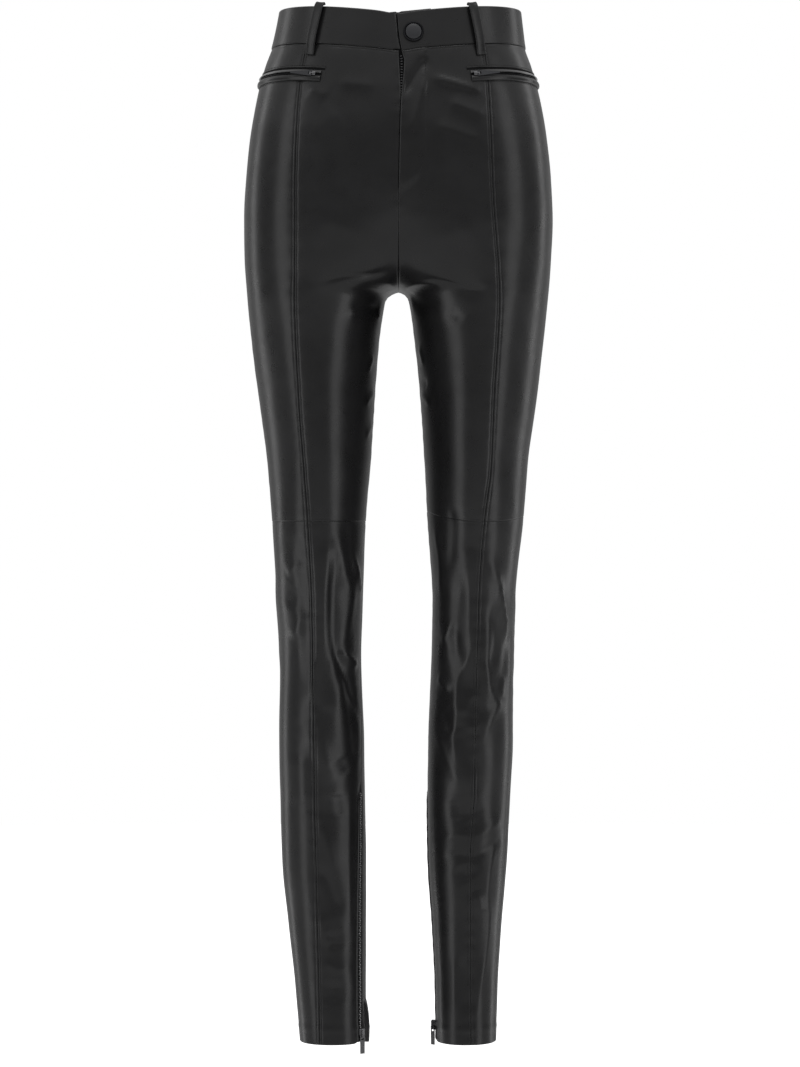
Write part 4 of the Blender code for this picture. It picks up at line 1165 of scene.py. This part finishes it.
def shader(name, colour, roughness, metallic=0.0, **sockets):
    """A material, with its node tree and its Principled shader's sockets."""
    made = bpy.data.materials.new(name)
    made.use_nodes = True
    principled = made.node_tree.nodes["Principled BSDF"].inputs
    sockets |= {"Base_Color": (*colour, 1), "Roughness": roughness, "Metallic": metallic}
    for socket, value in sockets.items():
        principled[socket.replace("_", " ")].default_value = value
    return made, made.node_tree, principled


def node(tree, kind, inputs=None, **settings):
    made = tree.nodes.new(kind)
    for key, value in settings.items():
        setattr(made, key, value)
    for key, value in (inputs or {}).items():
        if isinstance(value, bpy.types.NodeSocket):
            tree.links.new(value, made.inputs[key])
        else:
            made.inputs[key].default_value = value
    return made


def mapped(tree, value, low, high, start=0.0, end=1.0, **settings):
    inputs = {"Value": value, "From Min": start, "From Max": end, "To Min": low, "To Max": high}
    return node(tree, "ShaderNodeMapRange", inputs, **settings).outputs["Result"]


def textured(tree, kind, scale, output="Fac", settings=None, **inputs):
    """A texture in the piece's own space. scale is its features to the metre."""
    place_at = node(tree, "ShaderNodeTexCoord").outputs["Object"]
    inputs |= {"Vector": place_at, "Scale": scale}
    return node(tree, f"ShaderNodeTex{kind}", inputs, **(settings or {})).outputs[output]


def bumped(tree, principled, *layers):
    """Lays bumps over each other: strength, depth in metres and height."""
    under = {}
    for strength, depth, height in layers:
        inputs = {"Strength": strength, "Distance": depth, "Height": height, **under}
        under = {"Normal": node(tree, "ShaderNodeBump", inputs).outputs["Normal"]}
    tree.links.new(under["Normal"], principled["Normal"])


def make_leather(name, base=0.018, rough=(0.26, 0.33), tint=(1.0, 0.99, 1.03), coat=0.1):
    """Smooth black nappa: a fine pebble grain, faint stretch marks and a slightly uneven gloss."""
    gloss = {"Specular_IOR_Level": 0.5, "Coat_Weight": coat, "Coat_Roughness": 0.18}
    made, tree, principled = shader(name, (base, base, base), 0.3, **gloss)
    cloudy = textured(tree, "Noise", 16.0, Detail=4.0)
    rub = textured(tree, "Noise", 70.0, Detail=5.0)
    pores = textured(tree, "Noise", 2600.0, Detail=2.0)
    grain = textured(tree, "Voronoi", 1300.0, "Distance", {"feature": "DISTANCE_TO_EDGE"})
    patchy = mapped(tree, cloudy, 0.0, 1.0, 0.3, 0.7)
    shade = node(tree, "ShaderNodeMix", {"Factor": patchy}, data_type="RGBA")
    dark, light, mixed = shade.inputs[6], shade.inputs[7], shade.outputs[2]
    dark.default_value = (*(base * 0.8 * c for c in tint), 1)
    light.default_value = (*(base * 1.25 * c for c in tint), 1)
    tree.links.new(mixed, principled["Base Color"])
    tree.links.new(mapped(tree, rub, *rough, 0.3, 0.7), principled["Roughness"])
    cells = (0.06, 0.00012, mapped(tree, grain, 0.0, 1.0, 0.0, 0.25))
    bumped(tree, principled, cells, (0.05, 0.0001, pores), (0.08, 0.001, rub))
    return made


def make_thread():
    made, tree, principled = shader("black thread", (0.02, 0.02, 0.021), 0.55)
    twist = textured(tree, "Noise", 3000.0, Detail=1.0)
    bumped(tree, principled, (0.4, 0.0001, twist))
    tree.links.new(mapped(tree, twist, 0.45, 0.65), principled["Roughness"])
    return made


def make_metal(name, colour, roughness):
    made, tree, principled = shader(name, colour, roughness, 1.0)
    wear = textured(tree, "Noise", 400.0, Detail=4.0)
    tree.links.new(mapped(tree, wear, roughness * 0.7, roughness * 1.5, 0.3, 0.7), principled["Roughness"])
    bumped(tree, principled, (0.15, 0.0001, wear))
    return made


def make_tape():
    """Woven zip tape: fine ribs across a matt black ribbon."""
    made, tree, principled = shader("zip tape", (0.006, 0.006, 0.0065), 0.85, Specular_IOR_Level=0.25)
    ribs = textured(tree, "Wave", 420.0, "Fac", {"bands_direction": "Z"}, Distortion=0.6)
    fuzz = textured(tree, "Noise", 2500.0)
    bumped(tree, principled, (0.5, 0.0002, ribs), (0.3, 0.0001, fuzz))
    return made


leather = make_leather("black leather")
button_leather = make_leather("button leather", 0.045, (0.42, 0.50), (0.98, 1.0, 1.12))
welt_leather = make_leather("polished welt leather", 0.03, (0.20, 0.26), coat=1.0)
thread = make_thread()
metal = make_metal("zip metal", (0.34, 0.34, 0.35), 0.25)
metal_bright = make_metal("bright metal", (0.62, 0.62, 0.63), 0.35)
metal_grey = make_metal("grey metal", (0.20, 0.20, 0.205), 0.3)
# Darker metal for the fly's teeth: painted shade of the fly's gap.
fly_teeth_painted_shade_metal = make_metal("dark metal", (0.12, 0.12, 0.125), 0.3)
metal_black = make_metal("black metal", (0.03, 0.03, 0.033), 0.3)
tape = make_tape()


def dress_solids():
    """The solids that stay get their finish."""
    for name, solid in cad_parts.items():
        finish = tape if name.endswith(("_tape", "_zip")) else metal
        if name.endswith("pull"):
            finish = button_leather if name.startswith("pocket") else metal_grey
        solid.data.materials.clear()
        solid.data.materials.append(finish)


# ---- light and camera

CAMERA = (1.56, -4000.0, -545.5)
LENS, SENSOR = 129.8, 36.0
# The studio's brightness in front, behind, below and above, and where along its axis each one fades in.
FRONT_LEVEL, BACK_LEVEL, FLOOR_LEVEL, CEILING_LEVEL = 0.14, 0.32, 0.42, 0.42
BACK_FADE, FLOOR_FADE, CEILING_FADE = (0.70, 0.98), (-0.08, -0.24), (0.16, 0.40)
# Each soft box: azimuth (0 in front of the garment, 90 at its left), height, distance, size and power.
LIGHTS = {
    "strip -1": (-64, -0.35, 2.4, (0.9, 2.8), 7),
    "rim -1": (-126, -0.35, 2.4, (0.5, 2.8), 4.5),
    "strip 1": (64, -0.35, 2.4, (0.9, 2.8), 7),
    "rim 1": (126, -0.35, 2.4, (0.5, 2.8), 4.5),
    "top": (0, 2.0, 1.2, (1.8, 1.0), 10),
}
AIM = Vector((0, 0, -0.5))
FLOOR_DROP = 1.30


def build_camera():
    data = bpy.data.cameras.new("camera")
    data.lens, data.sensor_width = LENS, SENSOR
    camera = put("camera", data)
    camera.location = Vector(CAMERA) * MM
    camera.rotation_euler = (math.pi / 2, 0, 0)
    bpy.context.scene.camera = camera


def area_light(name, azimuth, height, far, size, power):
    """A soft box that faces the garment."""
    data = bpy.data.lights.new(name, "AREA")
    data.shape, data.size, data.size_y, data.energy = "RECTANGLE", *size, power
    made = put(name, data)
    turn = math.radians(azimuth)
    made.location = (far * math.sin(turn), -far * math.cos(turn), height)
    made.rotation_euler = (AIM - made.location).to_track_quat("-Z", "Y").to_euler()


def build_world():
    """A white studio. It looks white, but it casts less light on the garment, and least from the front."""
    world = bpy.data.worlds.new("studio")
    bpy.context.scene.world = world
    world.use_nodes = True
    tree = world.node_tree
    background = tree.nodes["Background"].inputs
    background["Color"].default_value = (1, 1, 1, 1)
    way = node(tree, "ShaderNodeTexCoord").outputs["Generated"]
    parts = node(tree, "ShaderNodeSeparateXYZ", {"Vector": way}).outputs

    def mix(share, first, second):
        inputs = {"Factor": share, "A": first, "B": second}
        return node(tree, "ShaderNodeMix", inputs, data_type="FLOAT").outputs["Result"]

    def towards(axis, fade):
        return mapped(tree, parts[axis], 0.0, 1.0, *fade, interpolation_type="SMOOTHSTEP")

    level = mapped(tree, towards("Y", BACK_FADE), FRONT_LEVEL, BACK_LEVEL)
    for fade, there in ((FLOOR_FADE, FLOOR_LEVEL), (CEILING_FADE, CEILING_LEVEL)):
        level = mix(towards("Z", fade), level, there)
    seen = node(tree, "ShaderNodeLightPath").outputs["Is Camera Ray"]
    tree.links.new(mix(seen, level, 1.0), background["Strength"])


def build_stage():
    """A plain pale floor under the garment."""
    work = bmesh.new()
    bmesh.ops.create_circle(work, cap_ends=True, radius=6.0, segments=96)
    mesh = bpy.data.meshes.new("floor")
    work.to_mesh(mesh)
    work.free()
    floor = put("floor", mesh)
    floor.location = (0, 0, -FLOOR_DROP)
    glow = {"Emission_Color": (1, 1, 1, 1), "Emission_Strength": 1.0}
    mesh.materials.append(shader("floor", (0.9, 0.9, 0.9), 0.9, **glow)[0])
    # The floor is only seen: what the garment catches from below comes from the world.
    floor.visible_diffuse = floor.visible_glossy = floor.visible_shadow = False


def main():
    build_camera()
    dress_solids()
    for side in (RIGHT, LEFT):
        build_leg(side)
        build_welts(side)
        build_pocket_stitches(side)
        build_pocket_teeth(side)
        build_seam_stitches(side)
        build_ankle_teeth(side)
    build_waistband()
    build_loops()
    build_fly_stitches()
    build_band_stitches()
    build_fly_teeth()
    build_button()
    build_world()
    build_stage()
    for name, light in LIGHTS.items():
        area_light(name, *light)
    bpy.context.scene.view_settings.view_transform = "Standard"


main()
